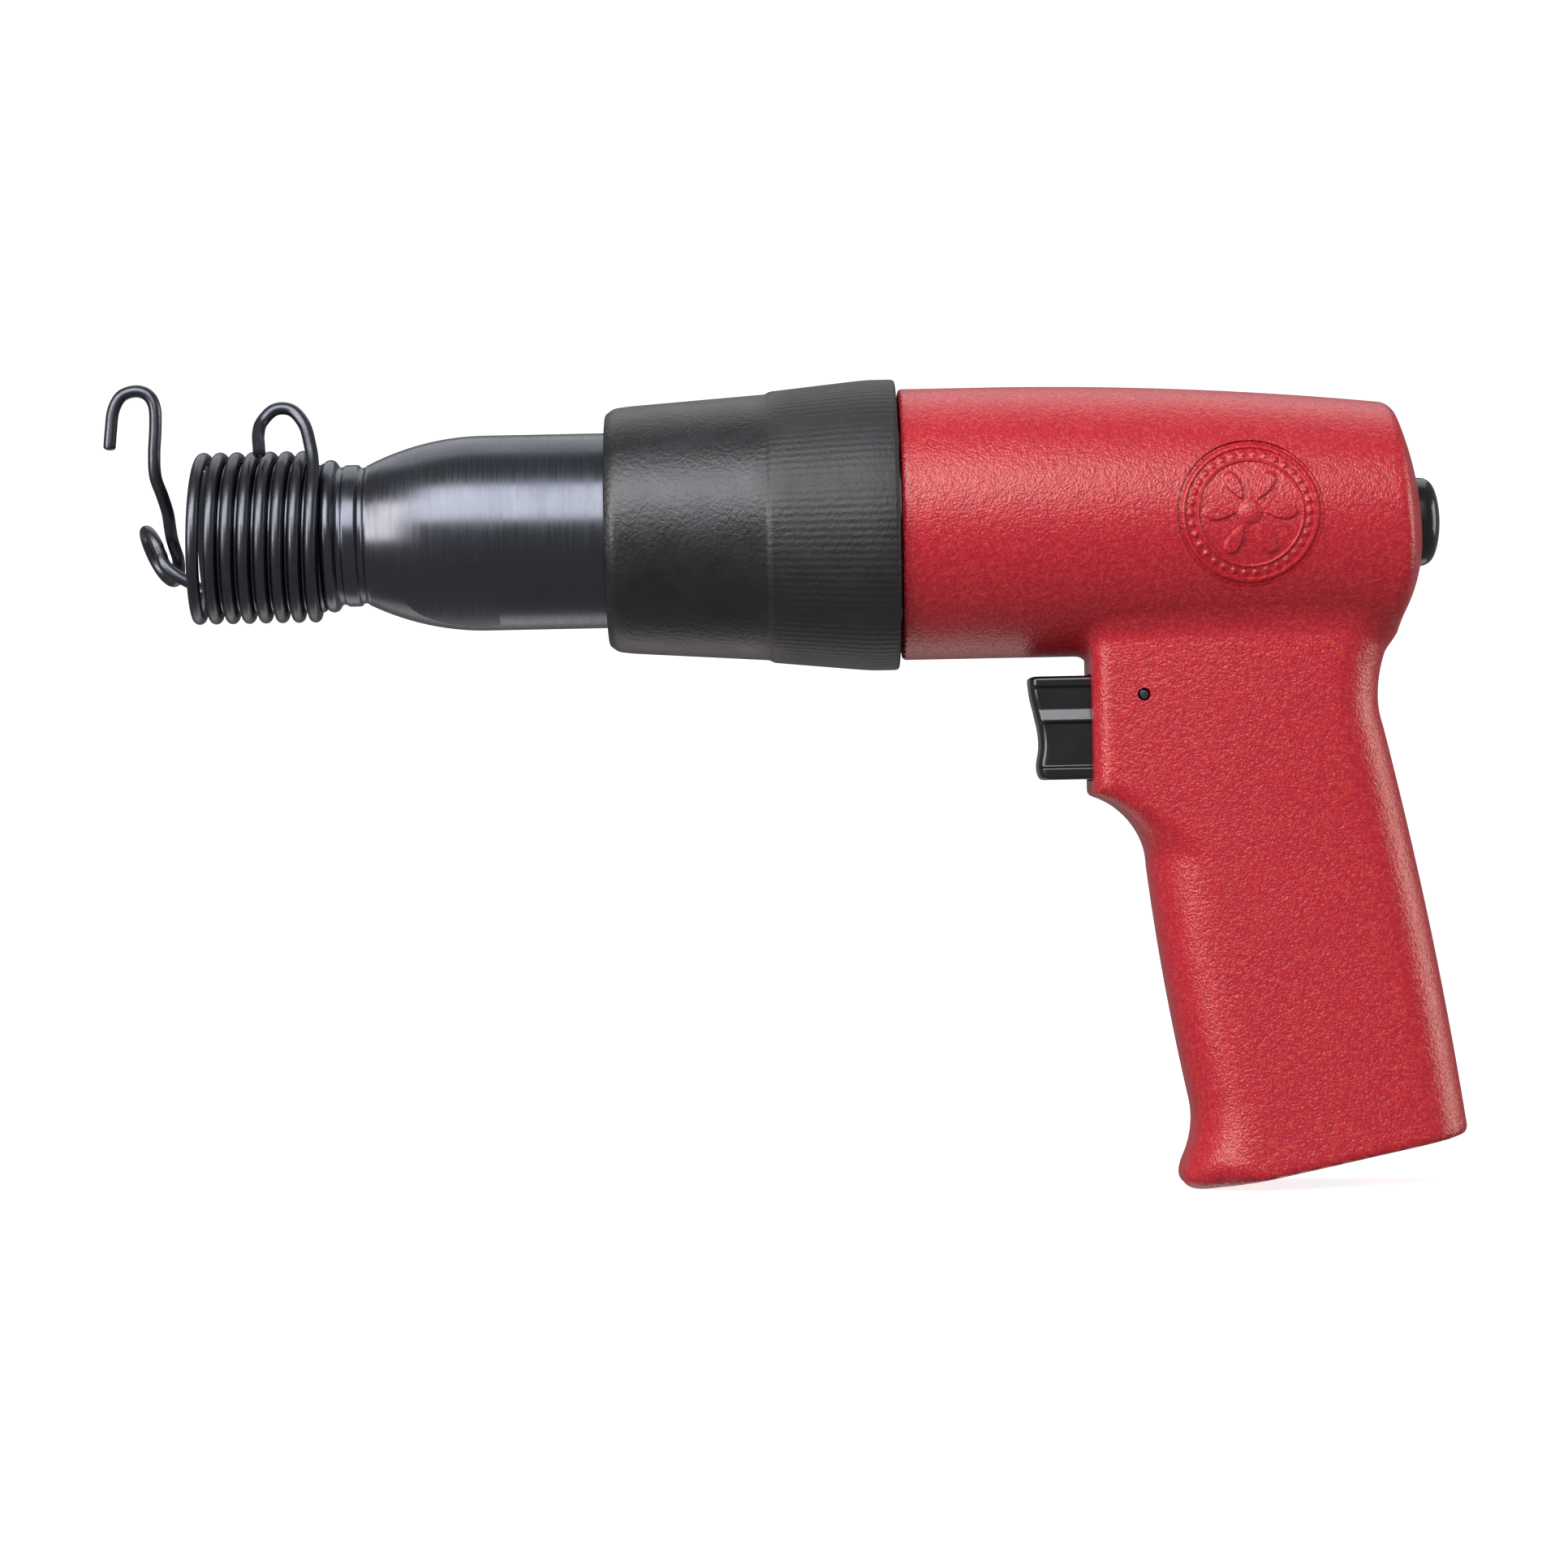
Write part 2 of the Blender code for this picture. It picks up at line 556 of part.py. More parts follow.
# ---------------------------------------------------------------- valve chest
def build_valve_chest(steel, bronze, fibre):
    """Gasket, seat plate, shuttle valve and valve block, held by the barrel's thread."""
    x = BARREL_REAR_X + GAP
    outer = CHEST_R - GAP
    gasket = washer("chest_gasket", x, x + 1.0, 11.0, outer, fibre)
    x += 1.0 + GAP
    plate = washer("valve_seat_plate", x, x + 4.0, 4.0, outer, steel)
    x += 4.0 + GAP
    block_section = [(x, 13.6), (x, outer), (CHEST_REAR_X - GAP, outer), (CHEST_REAR_X - GAP, 5.0),
                     (x + 5.2, 5.0), (x + 5.2, 13.6)]
    chest = turned("valve_block", block_section, steel)
    valve = washer("shuttle_valve", x + 0.4, x + 3.9, 5.6, 13.1, bronze, steps=28)
    hole_at = (0.0, 0.0, DOWEL_RADIUS)
    hole = rod("dowel_hole", BARREL_REAR_X - 1.0, 38.0, 1.8, at=hole_at, steps=12)
    for piece in (gasket, plate, chest):
        boolean(piece, hole)
    rod("valve_dowel", BARREL_REAR_X + 2 * GAP, 37.6, 1.5, steel, at=hole_at, steps=12)
    return valve


# ---------------------------------------------------------------- trigger and throttle
def build_trigger(black):
    """The trigger: a concave finger pad on a shank that slides in its pocket, slotted for
    the pin that keeps it in."""
    top = THROTTLE_Z + TRIGGER_HEIGHT / 2
    low = THROTTLE_Z - TRIGGER_HEIGHT / 2
    pad = [(26.2, top), (25.5, top - 0.7), (25.9, -36.0), (26.7, -39.2), (27.4, -42.8), (27.6, -46.0),
           (27.1, -49.2), (27.5, low + 0.7), (28.2, low)]
    outline = pad + [(TRIGGER_REAR_X, low), (TRIGGER_REAR_X, top)]
    trigger = add_object("trigger", extruded_mesh("trigger", outline, TRIGGER_HALF_WIDTH), black)
    edge = trigger.modifiers.new("rounded_edges", "BEVEL")
    edge.width = 0.9 * MM
    edge.segments = 2
    edge.angle_limit = math.radians(50)
    room = PIN_R + GAP
    slot = rounded_slot_outline(PIN_X - TRIGGER_TRAVEL - room, PIN_X + room,
                                PIN_Z - room, PIN_Z + room, 1.2)
    boolean(trigger, add_object("pin_slot", extruded_mesh("pin_slot", slot, 12.0)))


def build_throttle(steel, brass, rubber):
    """Stem, poppet, bushing, spring and seal on the throttle's axis."""
    at = (0.0, 0.0, THROTTLE_Z)
    outer = THROTTLE_BORE_R - GAP
    front = POCKET_REAR_X + GAP
    rear = front + 8.0
    bushing = [(front, 2.3), (front, outer), (front + 1.2, outer), (front + 1.2, outer - 1.5),
               (front + 2.9, outer - 1.5), (front + 2.9, outer), (front + 3.8, outer),
               (front + 3.8, 5.0), (front + 7.0, 5.0), (front + 7.0, outer), (rear, outer),
               (rear, 3.4), (front + 4.0, 3.4), (front + 4.0, 2.3)]
    made = turned("throttle_bushing", bushing, brass, steps=24, at=at)
    boolean(made, rod("bushing_port", -10.0, 10.0, 1.4, at=(DELIVERY_X, 0.0, THROTTLE_Z), axis=(0, 0, 1),
                      steps=10))
    o_ring("throttle_o_ring", front + 2.05, outer - 0.62, 0.55, rubber, at=at)
    stem = [(TRIGGER_REAR_X + GAP, 0.0), (TRIGGER_REAR_X + GAP, 1.9), (rear + 2.4, 1.9),
            (rear + 2.4, 0.0)]
    turned("throttle_stem", stem, steel, steps=12, at=at)
    face = rear + GAP
    poppet = [(face, 2.2), (face, 4.4), (face + 0.8, 5.2), (face + 3.2, 5.2), (face + 3.2, 2.4),
              (face + 5.6, 2.4), (face + 5.6, 0.0), (face + 2.8, 0.0), (face + 2.8, 2.2)]
    poppet = poppet[-2:] + poppet[:-2]
    turned("throttle_valve", poppet, brass, steps=20, at=at)
    spring_front = face + 3.2 + GAP
    spring_rear = THROTTLE_BORE_END_X - GAP
    radius = 3.8
    thick = 0.45
    count = 12
    turns = 5.5
    length = spring_rear - spring_front - 2.0 * thick
    points = []
    for k in range(int(turns * count) + 1):
        a = 2.0 * math.pi * k / count
        x = spring_front + thick + length * k / (turns * count)
        points.append((x, radius * math.cos(a), THROTTLE_Z + radius * math.sin(a)))
    wire("throttle_spring", points, thick, steel, resolution=0)


def build_trigger_pin(steel):
    rod("trigger_pin", -15.4, 15.4, PIN_R, steel, steps=12, at=(PIN_X, 0.0, PIN_Z), axis=(0, 1, 0))


# ---------------------------------------------------------------- regulator
def build_regulator(black, steel, rubber):
    """A hollow rotary spool with one window, its seal, its snap ring and the knob at the back."""
    at = (0.0, 0.0, REGULATOR_Z)
    outer = REGULATOR_BORE_R - GAP
    section = [(70.0, 0.0), (70.0, 4.2), (52.0, 4.2), (52.0, outer), (80.0, outer), (80.0, outer - 1.5),
               (82.2, outer - 1.5), (82.2, outer), (91.8, outer), (91.8, 5.4), (93.8, 5.4),
               (93.8, outer), (99.0, outer), (99.0, 3.8), (105.0, 3.8), (105.0, 0.0)]
    spool = turned("regulator_spool", section, steel, steps=24, at=at)
    window = rod("spool_window", 0.0, 12.0, 2.6, at=(DELIVERY_X, 0.0, REGULATOR_Z), axis=(0, 0, -1),
                 steps=12)
    boolean(spool, window)
    o_ring("regulator_o_ring", 81.1, outer - 0.62, 0.55, rubber, at=at)
    clip = washer("regulator_clip", 92.3, 93.3, 5.7, REGULATOR_BORE_R + 0.8, steel, steps=24, at=at)
    gap = block("clip_gap", (90.0, -1.6, REGULATOR_Z + 3.0), (95.0, 1.6, REGULATOR_Z + 10.0))
    boolean(clip, gap)
    rim = KNOB_REAR_X - 3.1
    knob = [(KNOB_REAR_X, 0.0), (KNOB_REAR_X - 0.2, 3.6), (KNOB_REAR_X - 0.9, 6.6),
            (KNOB_REAR_X - 1.8, 8.2), (rim, KNOB_R), (101.7, KNOB_R), (101.7, 4.1),
            (105.3, 4.1), (105.3, 0.0)]
    knob = turned("regulator_knob", knob, black, steps=28, at=at)
    slot = block("knob_slot", (KNOB_REAR_X - 1.6, -0.8, REGULATOR_Z - 6.0),
                 (KNOB_REAR_X + 2.0, 0.8, REGULATOR_Z + 6.0))
    boolean(knob, slot)


# ---------------------------------------------------------------- inlet
def build_inlet(steel, brass, rubber):
    """Threaded inlet bushing flush with the base, its seal and the strainer above it."""
    at = inlet_place()
    axis = inlet_axis()
    outer = INLET_OUTER_R
    section = [(0.0, INLET_BORE_R + 1.0), (0.0, outer - 0.6), (0.6, outer), (14.8, outer),
               (15.4, outer - 0.6), (15.4, INLET_BORE_R), (1.0, INLET_BORE_R)]
    turned("inlet_bushing", section, steel, steps=24, at=at, axis=axis)
    washer("inlet_seal", 15.7, 16.7, 7.4, outer, rubber, steps=24, at=at, axis=axis)
    screen = rod("inlet_screen", 17.3, 18.2, 7.7, brass, steps=24, at=at, axis=axis)
    holes = 6
    for k in range(holes):
        turn = 2.0 * math.pi * k / holes
        place = screen.matrix_local @ (Vector((0.0, 4.4 * math.cos(turn), 4.4 * math.sin(turn))) * MM)
        boolean(screen, rod("screen_hole_%d" % k, 15.0, 21.0, 1.3, at=place / MM, axis=axis, steps=8))
    centre = rod("screen_hole_middle", 15.0, 21.0, 1.3, at=at, axis=axis, steps=8)
    boolean(screen, centre)


# ---------------------------------------------------------------- build
def main():
    red = finish("red_wrinkle_enamel", (0.43, 0.02, 0.035), 0.42, 0.0)
    oxide = finish("black_oxide_steel", (0.045, 0.047, 0.053), 0.32, 0.9)
    steel = finish("ground_steel", (0.42, 0.43, 0.45), 0.28, 1.0)
    bronze = finish("valve_bronze", (0.45, 0.27, 0.12), 0.35, 1.0)
    brass = finish("brass", (0.55, 0.40, 0.14), 0.3, 1.0)
    rubber = finish("black_rubber", (0.02, 0.021, 0.023), 0.62, 0.0)
    plastic = finish("black_moulded_plastic", (0.012, 0.012, 0.013), 0.2, 0.0)
    fibre = finish("gasket_fibre", (0.16, 0.13, 0.09), 0.8, 0.0)
    black_wire = finish("blackened_spring_wire", (0.05, 0.05, 0.055), 0.35, 0.8)

    build_housing(red)
    build_barrel(oxide)
    build_sleeve(rubber)
    build_piston(steel)
    build_retainer_spring(black_wire)
    build_retainer_hook(black_wire)
    build_valve_chest(steel, bronze, fibre)
    build_trigger(plastic)
    build_throttle(steel, brass, rubber)
    build_trigger_pin(oxide)
    build_regulator(plastic, steel, rubber)
    build_inlet(steel, brass, rubber)


clear_scene()
TOOL = bpy.data.objects.new("tool_axes", None)
bpy.context.collection.objects.link(TOOL)
TOOL.location = Vector(TOOL_OFFSET) * MM
main()
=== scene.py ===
# %% [markdown]
# # A pneumatic rivet gun, piece by piece
# The tool is a pistol-grip air hammer. A red cast housing carries the grip, the trigger and the air
# inlet. A black steel barrel screws into its front, under a rubber exhaust sleeve, and a wire
# retainer screws on the barrel's nose. Piston, valve, throttle and power regulator are inside. The
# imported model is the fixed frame, and each cell adds a finish or a finer piece to it. Lengths are in
# millimetres along the tool's own axes: X runs from the muzzle (-X) to the back of the housing,
# X = 0 is the housing's front face, and Z is up.

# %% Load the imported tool
import math

import bmesh
import bpy
import numpy as np
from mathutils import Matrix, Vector


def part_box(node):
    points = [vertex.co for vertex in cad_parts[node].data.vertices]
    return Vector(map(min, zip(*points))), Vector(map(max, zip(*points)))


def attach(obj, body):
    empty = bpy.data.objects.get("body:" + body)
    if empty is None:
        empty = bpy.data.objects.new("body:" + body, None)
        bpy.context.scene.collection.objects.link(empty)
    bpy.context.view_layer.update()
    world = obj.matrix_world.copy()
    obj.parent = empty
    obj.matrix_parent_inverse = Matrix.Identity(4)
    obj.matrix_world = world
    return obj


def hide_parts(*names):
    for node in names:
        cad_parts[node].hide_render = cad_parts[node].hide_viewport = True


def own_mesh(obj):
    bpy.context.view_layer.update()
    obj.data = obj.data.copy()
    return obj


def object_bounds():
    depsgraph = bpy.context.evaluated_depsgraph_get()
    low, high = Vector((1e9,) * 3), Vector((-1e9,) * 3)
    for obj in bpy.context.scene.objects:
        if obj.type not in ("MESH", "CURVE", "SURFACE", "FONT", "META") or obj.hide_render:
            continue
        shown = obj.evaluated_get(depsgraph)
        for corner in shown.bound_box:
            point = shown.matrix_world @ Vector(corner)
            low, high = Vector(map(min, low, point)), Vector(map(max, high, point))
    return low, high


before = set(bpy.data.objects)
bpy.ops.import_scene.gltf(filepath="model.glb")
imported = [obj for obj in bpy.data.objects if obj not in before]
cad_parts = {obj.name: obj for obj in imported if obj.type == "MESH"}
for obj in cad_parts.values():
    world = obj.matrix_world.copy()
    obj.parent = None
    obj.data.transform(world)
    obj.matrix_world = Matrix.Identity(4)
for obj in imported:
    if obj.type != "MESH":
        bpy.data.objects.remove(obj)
cad_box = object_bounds()

# %% Where the tool's axes lie in the world
MM = 0.001
MUZZLE_X = -141.0              # the barrel's front face, in the tool's own axes
barrel_low, barrel_high = (np.array(corner, float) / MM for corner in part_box("barrel"))
AXES_AT = np.array([barrel_low[0] - MUZZLE_X, 0.0, (barrel_low[2] + barrel_high[2]) / 2.0])
print("tool axes at", AXES_AT.round(3), "mm; box", np.round(np.array(cad_box, float) / MM, 2).tolist())

# %% [markdown]
# ## Colours and nodes
# Colours are easiest to name as sRGB hex values, but the shader wants linear light, so one function
# turns the one into the other. Each material is a small graph of nodes, and one helper adds a node
# with its settings and its links.


# %% Helpers for materials
def linear(hex_colour):
    """sRGB hex to linear RGBA: the low end is divided by 12.92, the rest follows the 2.4 power."""
    parts = np.array([int(hex_colour[i:i + 2], 16) for i in (1, 3, 5)]) / 255.0
    light = np.where(parts <= 0.04045, parts / 12.92, ((parts + 0.055) / 1.055) ** 2.4)
    return (*light.tolist(), 1.0)


def add_node(tree, kind, inputs=None, **settings):
    """One shader node: settings are its attributes, and each input takes a value or an output."""
    made = tree.nodes.new("ShaderNode" + kind)
    for name, value in settings.items():
        setattr(made, name, value)
    for name, value in (inputs or {}).items():
        if isinstance(value, bpy.types.NodeSocket):
            tree.links.new(value, made.inputs[name])
        else:
            made.inputs[name].default_value = value
    return made


def new_finish(name, roughness, metallic=0.0, **constants):
    """An empty finish: its tree, its Principled shader and Object coordinates, which are metres."""
    made = bpy.data.materials.new(name)
    made.use_nodes = True
    tree = made.node_tree
    shader = tree.nodes["Principled BSDF"]
    shader.inputs["Roughness"].default_value = roughness
    shader.inputs["Metallic"].default_value = metallic
    for socket, value in constants.items():
        shader.inputs[socket.replace("_", " ")].default_value = value
    place = add_node(tree, "TexCoord").outputs["Object"]
    return made, tree, shader, place


def to_shader(tree, shader, colour, gloss, bump):
    """The last step of a finish: its three results reach the shader."""
    tree.links.new(colour.outputs["Result"], shader.inputs["Base Color"])
    tree.links.new(gloss.outputs[0], shader.inputs["Roughness"])
    tree.links.new(bump.outputs[0], shader.inputs["Normal"])


def per_mm(size):
    """The texture scale that repeats a pattern every size millimetres."""
    return 1.0 / (size * MM)


# %% [markdown]
# ## The red wrinkle enamel
# The housing is an aluminium casting with a baked enamel that dries to a fine, hammered grain: a
# mottle of lighter crests, about a millimetre across. Noise at two sizes drives the height of the
# surface, and paints light into the colour too: a painted highlight on the crests and painted shade
# in the hollows. The crests are only about a tenth of a millimetre high, so a bump in the shader is
# enough.


# %% Red wrinkle enamel
def wrinkle_enamel(name, body_hex, crest_highlight_hex, patch_and_valley_shade_hex, grain):
    """Baked wrinkle enamel on a casting: a soft gloss broken up by grain of the given size."""
    made, tree, shader, place = new_finish(name, 0.36, IOR=1.5, Specular_IOR_Level=0.9,
                                            Specular_Tint=(1.0, 0.86, 0.74, 1.0))
    coarse = add_node(tree, "TexNoise", {
        "Vector": place, "Scale": per_mm(grain), "Roughness": 0.55})
    fine = add_node(tree, "TexNoise", {
        "Vector": place, "Scale": per_mm(grain * 0.45), "Detail": 1.0})
    patches = add_node(tree, "TexNoise", {
        "Vector": place, "Scale": per_mm(14.0)})
    height = add_node(tree, "Math", {0: coarse.outputs["Fac"], 1: fine.outputs["Fac"]},
                      operation="ADD")
    # painted highlight: the grain's crests are lightened in the colour
    crest = add_node(tree, "MapRange", {
        "Value": height.outputs[0], "From Min": 0.98, "From Max": 1.3})
    # painted shade: the grain's hollows are darkened in the colour
    valley_shade = add_node(tree, "MapRange", {
        "Value": height.outputs[0], "From Min": 0.98, "From Max": 0.72})
    # broad random patches of a darker tone, which is real colour, not light
    softened = add_node(tree, "MapRange", {
        "Value": patches.outputs["Fac"], "From Min": 0.45, "From Max": 0.75, "To Max": 0.22})
    base = add_node(tree, "Mix", {
        "Factor": softened.outputs[0], "A": linear(body_hex), "B": linear(patch_and_valley_shade_hex)},
        data_type="RGBA")
    low = add_node(tree, "Mix", {
        "Factor": valley_shade.outputs[0], "A": base.outputs["Result"], "B": linear(patch_and_valley_shade_hex)},
        data_type="RGBA")
    high = add_node(tree, "Mix", {
        "Factor": crest.outputs[0], "A": low.outputs["Result"], "B": linear(crest_highlight_hex)},
        data_type="RGBA")
    gloss = add_node(tree, "MapRange", {
        "Value": coarse.outputs["Fac"], "From Min": 0.3, "From Max": 0.7, "To Min": 0.33,
        "To Max": 0.23})
    bump = add_node(tree, "Bump", {
        "Height": height.outputs[0], "Strength": 0.8, "Distance": 0.18 * MM})
    to_shader(tree, shader, high, gloss, bump)
    return made


GRAIN = 1.0
# The second colour is the painted highlight on the grain's crests. The third tints random patches and is
# also the painted shade in the grain's hollows.
RED_ENAMEL = wrinkle_enamel("red_wrinkle_enamel", "#ca1f35", "#d9423f", "#b41a31", GRAIN)

# %% [markdown]
# ## The steels
# The barrel is turned steel with a black oxide finish: a dark, slightly blue metal that still
# reflects. Turning leaves rings round the axis, drawn here about half a millimetre apart. The spring
# wire is drawn and blackened, so it is a bit duller. Ground and zinc-plated parts are bright.


# %% Turned, drawn and plated steels
def metal(name, light_hex, dark_hex, roughness, mark, stretch, depth, patch=9.0):
    """A worked metal: noise drawn out by stretch makes the tool marks, and a broad noise the
    uneven colour of oxide or plating.  mark and patch are sizes in millimetres."""
    made, tree, shader, place = new_finish(name, roughness, metallic=1.0)
    marks_at = add_node(tree, "Mapping", {"Vector": place, "Scale": stretch})
    marks = add_node(tree, "TexNoise", {
        "Vector": marks_at.outputs[0], "Scale": per_mm(mark), "Roughness": 0.6})
    bloom = add_node(tree, "TexNoise", {
        "Vector": place, "Scale": per_mm(patch), "Detail": 3.0, "Roughness": 0.55})
    colour = add_node(tree, "Mix", {
        "Factor": bloom.outputs["Fac"], "A": linear(light_hex), "B": linear(dark_hex)},
        data_type="RGBA")
    both = add_node(tree, "Math", {0: marks.outputs["Fac"], 1: bloom.outputs["Fac"]},
                    operation="ADD")
    gloss = add_node(tree, "MapRange", {
        "Value": both.outputs[0], "From Min": 0.7, "From Max": 1.3, "To Min": roughness - 0.05,
        "To Max": roughness + 0.06})
    bump = add_node(tree, "Bump", {
        "Height": marks.outputs["Fac"], "Strength": 0.4, "Distance": depth * MM})
    to_shader(tree, shader, colour, gloss, bump)
    return made


ALONG_X = (1.0, 0.04, 0.04)    # marks that run round an axis along X
EVEN = (1.0, 1.0, 1.0)
BLACK_OXIDE = metal("black_oxide_steel", "#6f7178", "#60626a", 0.27, 0.5, ALONG_X, 0.02)
SPRING_WIRE = metal("blackened_spring_wire", "#6c6e75", "#505258", 0.32, 0.6, EVEN, 0.03, 4.0)
GROUND_STEEL = metal("ground_steel", "#b4b6ba", "#9a9ca1", 0.24, 0.4, ALONG_X, 0.01)
ZINC_STEEL = metal("zinc_plated_steel", "#b9bcc0", "#95989d", 0.3, 0.8, EVEN, 0.01)
BRASS = metal("free_machining_brass", "#c9a659", "#ad8840", 0.3, 0.4, ALONG_X, 0.01)
BRONZE = metal("valve_bronze", "#b07f4c", "#8f6238", 0.34, 0.4, ALONG_X, 0.01)

# %% [markdown]
# ## Rubber, plastic and fibre
# The sleeve is moulded nitrile rubber, black but dusty grey where light skims it, with the grain of
# its mould, and fine ribs along its rear half, where a gloved hand pushes it on. The trigger and the
# knob are glossy black acetal. The gasket is pressed fibre.


# %% Sleeve rubber
def ribbed_rubber(name, dark_hex, dusty_hex, ribs):
    """Moulded rubber.  The ribs are a sine of the angle round the X axis, and fade in along X
    from the kink of the cone back to its rear edge."""
    made, tree, shader, place = new_finish(name, 0.45, IOR=1.52, Specular_IOR_Level=0.9)
    grain = add_node(tree, "TexNoise", {
        "Vector": place, "Scale": per_mm(0.9), "Detail": 3.0, "Roughness": 0.6})
    dust = add_node(tree, "TexNoise", {
        "Vector": place, "Scale": per_mm(7.0), "Detail": 4.0, "Roughness": 0.6})
    axis_at = [-value * MM for value in AXES_AT]
    from_axis = add_node(tree, "Mapping", {"Vector": place, "Location": axis_at})
    parts = add_node(tree, "SeparateXYZ", {0: from_axis.outputs[0]})
    angle = add_node(tree, "Math", {0: parts.outputs["Z"], 1: parts.outputs["Y"]},
                     operation="ARCTAN2")
    turns = add_node(tree, "Math", {0: angle.outputs[0], 1: float(ribs)},
                     operation="MULTIPLY")
    wave = add_node(tree, "Math", {0: turns.outputs[0]}, operation="SINE")
    share = add_node(tree, "MapRange", {
        "Value": parts.outputs["X"], "From Min": -30.0 * MM, "From Max": -22.0 * MM, "To Max": 0.16})
    rib = add_node(tree, "Math", {0: wave.outputs[0], 1: share.outputs[0]},
                   operation="MULTIPLY")
    height = add_node(tree, "Math", {0: grain.outputs["Fac"], 1: rib.outputs[0]},
                      operation="ADD")
    dusty = add_node(tree, "MapRange", {
        "Value": dust.outputs["Fac"], "From Min": 0.4, "From Max": 0.7})
    colour = add_node(tree, "Mix", {
        "Factor": dusty.outputs[0], "A": linear(dark_hex), "B": linear(dusty_hex)},
        data_type="RGBA")
    worn = add_node(tree, "MapRange", {
        "Value": dust.outputs["Fac"], "From Min": 0.3, "From Max": 0.7, "To Min": 0.34,
        "To Max": 0.43})
    gloss = add_node(tree, "Math", {0: worn.outputs[0], 1: share.outputs[0]}, operation="ADD")
    bump = add_node(tree, "Bump", {
        "Height": height.outputs[0], "Strength": 0.7, "Distance": 0.22 * MM})
    to_shader(tree, shader, colour, gloss, bump)
    return made


RIBS = 120                     # 1.5 mm apart
SLEEVE_RUBBER = ribbed_rubber("moulded_nitrile_sleeve", "#0f1012", "#1b1c20", RIBS)


# %% Glossy plastic, seal rubber and fibre
def moulded(name, light_hex, dark_hex, roughness, grain, depth, sheen=0.5):
    """A moulded or pressed polymer: an even colour that drifts a little, and a shallow grain.
    sheen is the specular level."""
    made, tree, shader, place = new_finish(name, roughness, IOR=1.48, Specular_IOR_Level=sheen)
    spots = add_node(tree, "TexNoise", {
        "Vector": place, "Scale": per_mm(grain)})
    drift = add_node(tree, "TexNoise", {
        "Vector": place, "Scale": per_mm(6.0)})
    colour = add_node(tree, "Mix", {
        "Factor": drift.outputs["Fac"], "A": linear(light_hex), "B": linear(dark_hex)},
        data_type="RGBA")
    gloss = add_node(tree, "MapRange", {
        "Value": drift.outputs["Fac"], "From Min": 0.3, "From Max": 0.7,
        "To Min": roughness * 0.85, "To Max": roughness * 1.2})
    bump = add_node(tree, "Bump", {
        "Height": spots.outputs["Fac"], "Strength": 0.5, "Distance": depth * MM})
    to_shader(tree, shader, colour, gloss, bump)
    return made


BLACK_ACETAL = moulded("glossy_black_acetal", "#17191a", "#101212", 0.2, 1.2, 0.02, 0.95)
SEAL_RUBBER = moulded("nitrile_seal_rubber", "#1a1a1b", "#111112", 0.45, 0.4, 0.02)
GASKET_FIBRE = moulded("pressed_gasket_fibre", "#7d6d52", "#665640", 0.8, 0.3, 0.06)

# %% [markdown]
# ## Surfaces on a grid
# Most pieces are a grid of points worked out from two numbers: how far along the section, and how
# far round. A turned piece swings a section round an axis; a wire carries a circle along a path. A
# piece's object stays at the origin, and its place is in its mesh.


# %% Helpers for grids and pieces
def grid_quads(rows, columns, loop=False):
    """Corner numbers of the quads of a grid whose columns go round; loop joins the last row to the
    first as well."""
    row = np.arange(rows if loop else rows - 1)[:, None]
    column = np.arange(columns)[None, :]
    after = (column + 1) % columns
    below = (row + 1) % rows
    corners = (row * columns + column, row * columns + after, below * columns + after,
               below * columns + column)
    return np.stack(corners, axis=-1).reshape(-1, 4)


def mesh_of(name, points, quads):
    """Points in tool millimetres and quads, put into a mesh as whole arrays.  Points that fall
    together, as at a pole, are merged, and the faces are turned outwards."""
    flat = (np.asarray(points, float).reshape(-1, 3) + AXES_AT) * MM
    mesh = bpy.data.meshes.new(name)
    mesh.vertices.add(len(flat))
    mesh.vertices.foreach_set("co", flat.ravel())
    mesh.loops.add(quads.size)
    mesh.loops.foreach_set("vertex_index", quads.ravel())
    mesh.polygons.add(len(quads))
    mesh.polygons.foreach_set("loop_start", np.arange(0, quads.size, 4))
    mesh.update(calc_edges=True)
    work = bmesh.new()
    work.from_mesh(mesh)
    bmesh.ops.remove_doubles(work, verts=work.verts, dist=0.002 * MM)
    bmesh.ops.recalc_face_normals(work, faces=work.faces)
    work.to_mesh(mesh)
    work.free()
    mesh.validate()
    return mesh


def grid_mesh(name, points, loop=False):
    return mesh_of(name, points, grid_quads(*points.shape[:2], loop))


def smooth_faces(mesh, angle=32.0):
    mesh.shade_smooth()
    mesh.set_sharp_from_angle(angle=math.radians(angle))


def placed(mesh):
    """An object at the origin, named after its mesh."""
    made = bpy.data.objects.new(mesh.name, mesh)
    bpy.context.collection.objects.link(made)
    return made


def piece(mesh, finish, body="tool_body", node=None):
    """A finished piece: its mesh, finish, the body it rides on and the CAD node it stands for."""
    made = placed(mesh)
    mesh.materials.append(finish)
    smooth_faces(mesh)
    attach(made, body)
    if node:
        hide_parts(node)
    print("%-22s %6d faces" % (mesh.name, len(mesh.polygons)))
    return made


def eased(corners, closed=False, steps=5):
    """A section whose corners are (along, out, ease): a corner with ease > 0 gives way to a
    parabola that starts and ends that far from it."""
    spots = np.array([corner[:2] for corner in corners], float)
    out = []
    for i, corner in enumerate(corners):
        ease = corner[2] if len(corner) > 2 else 0.0
        if ease <= 0.0 or (not closed and i in (0, len(corners) - 1)):
            out.append(spots[i])
            continue
        before = spots[i - 1] - spots[i]
        after = spots[(i + 1) % len(spots)] - spots[i]
        a = spots[i] + before * min(0.49, ease / np.linalg.norm(before))
        b = spots[i] + after * min(0.49, ease / np.linalg.norm(after))
        t = np.linspace(0.0, 1.0, steps)[:, None]
        out.extend((1 - t) ** 2 * a + 2 * t * (1 - t) * spots[i] + t**2 * b)
    return np.array(out)


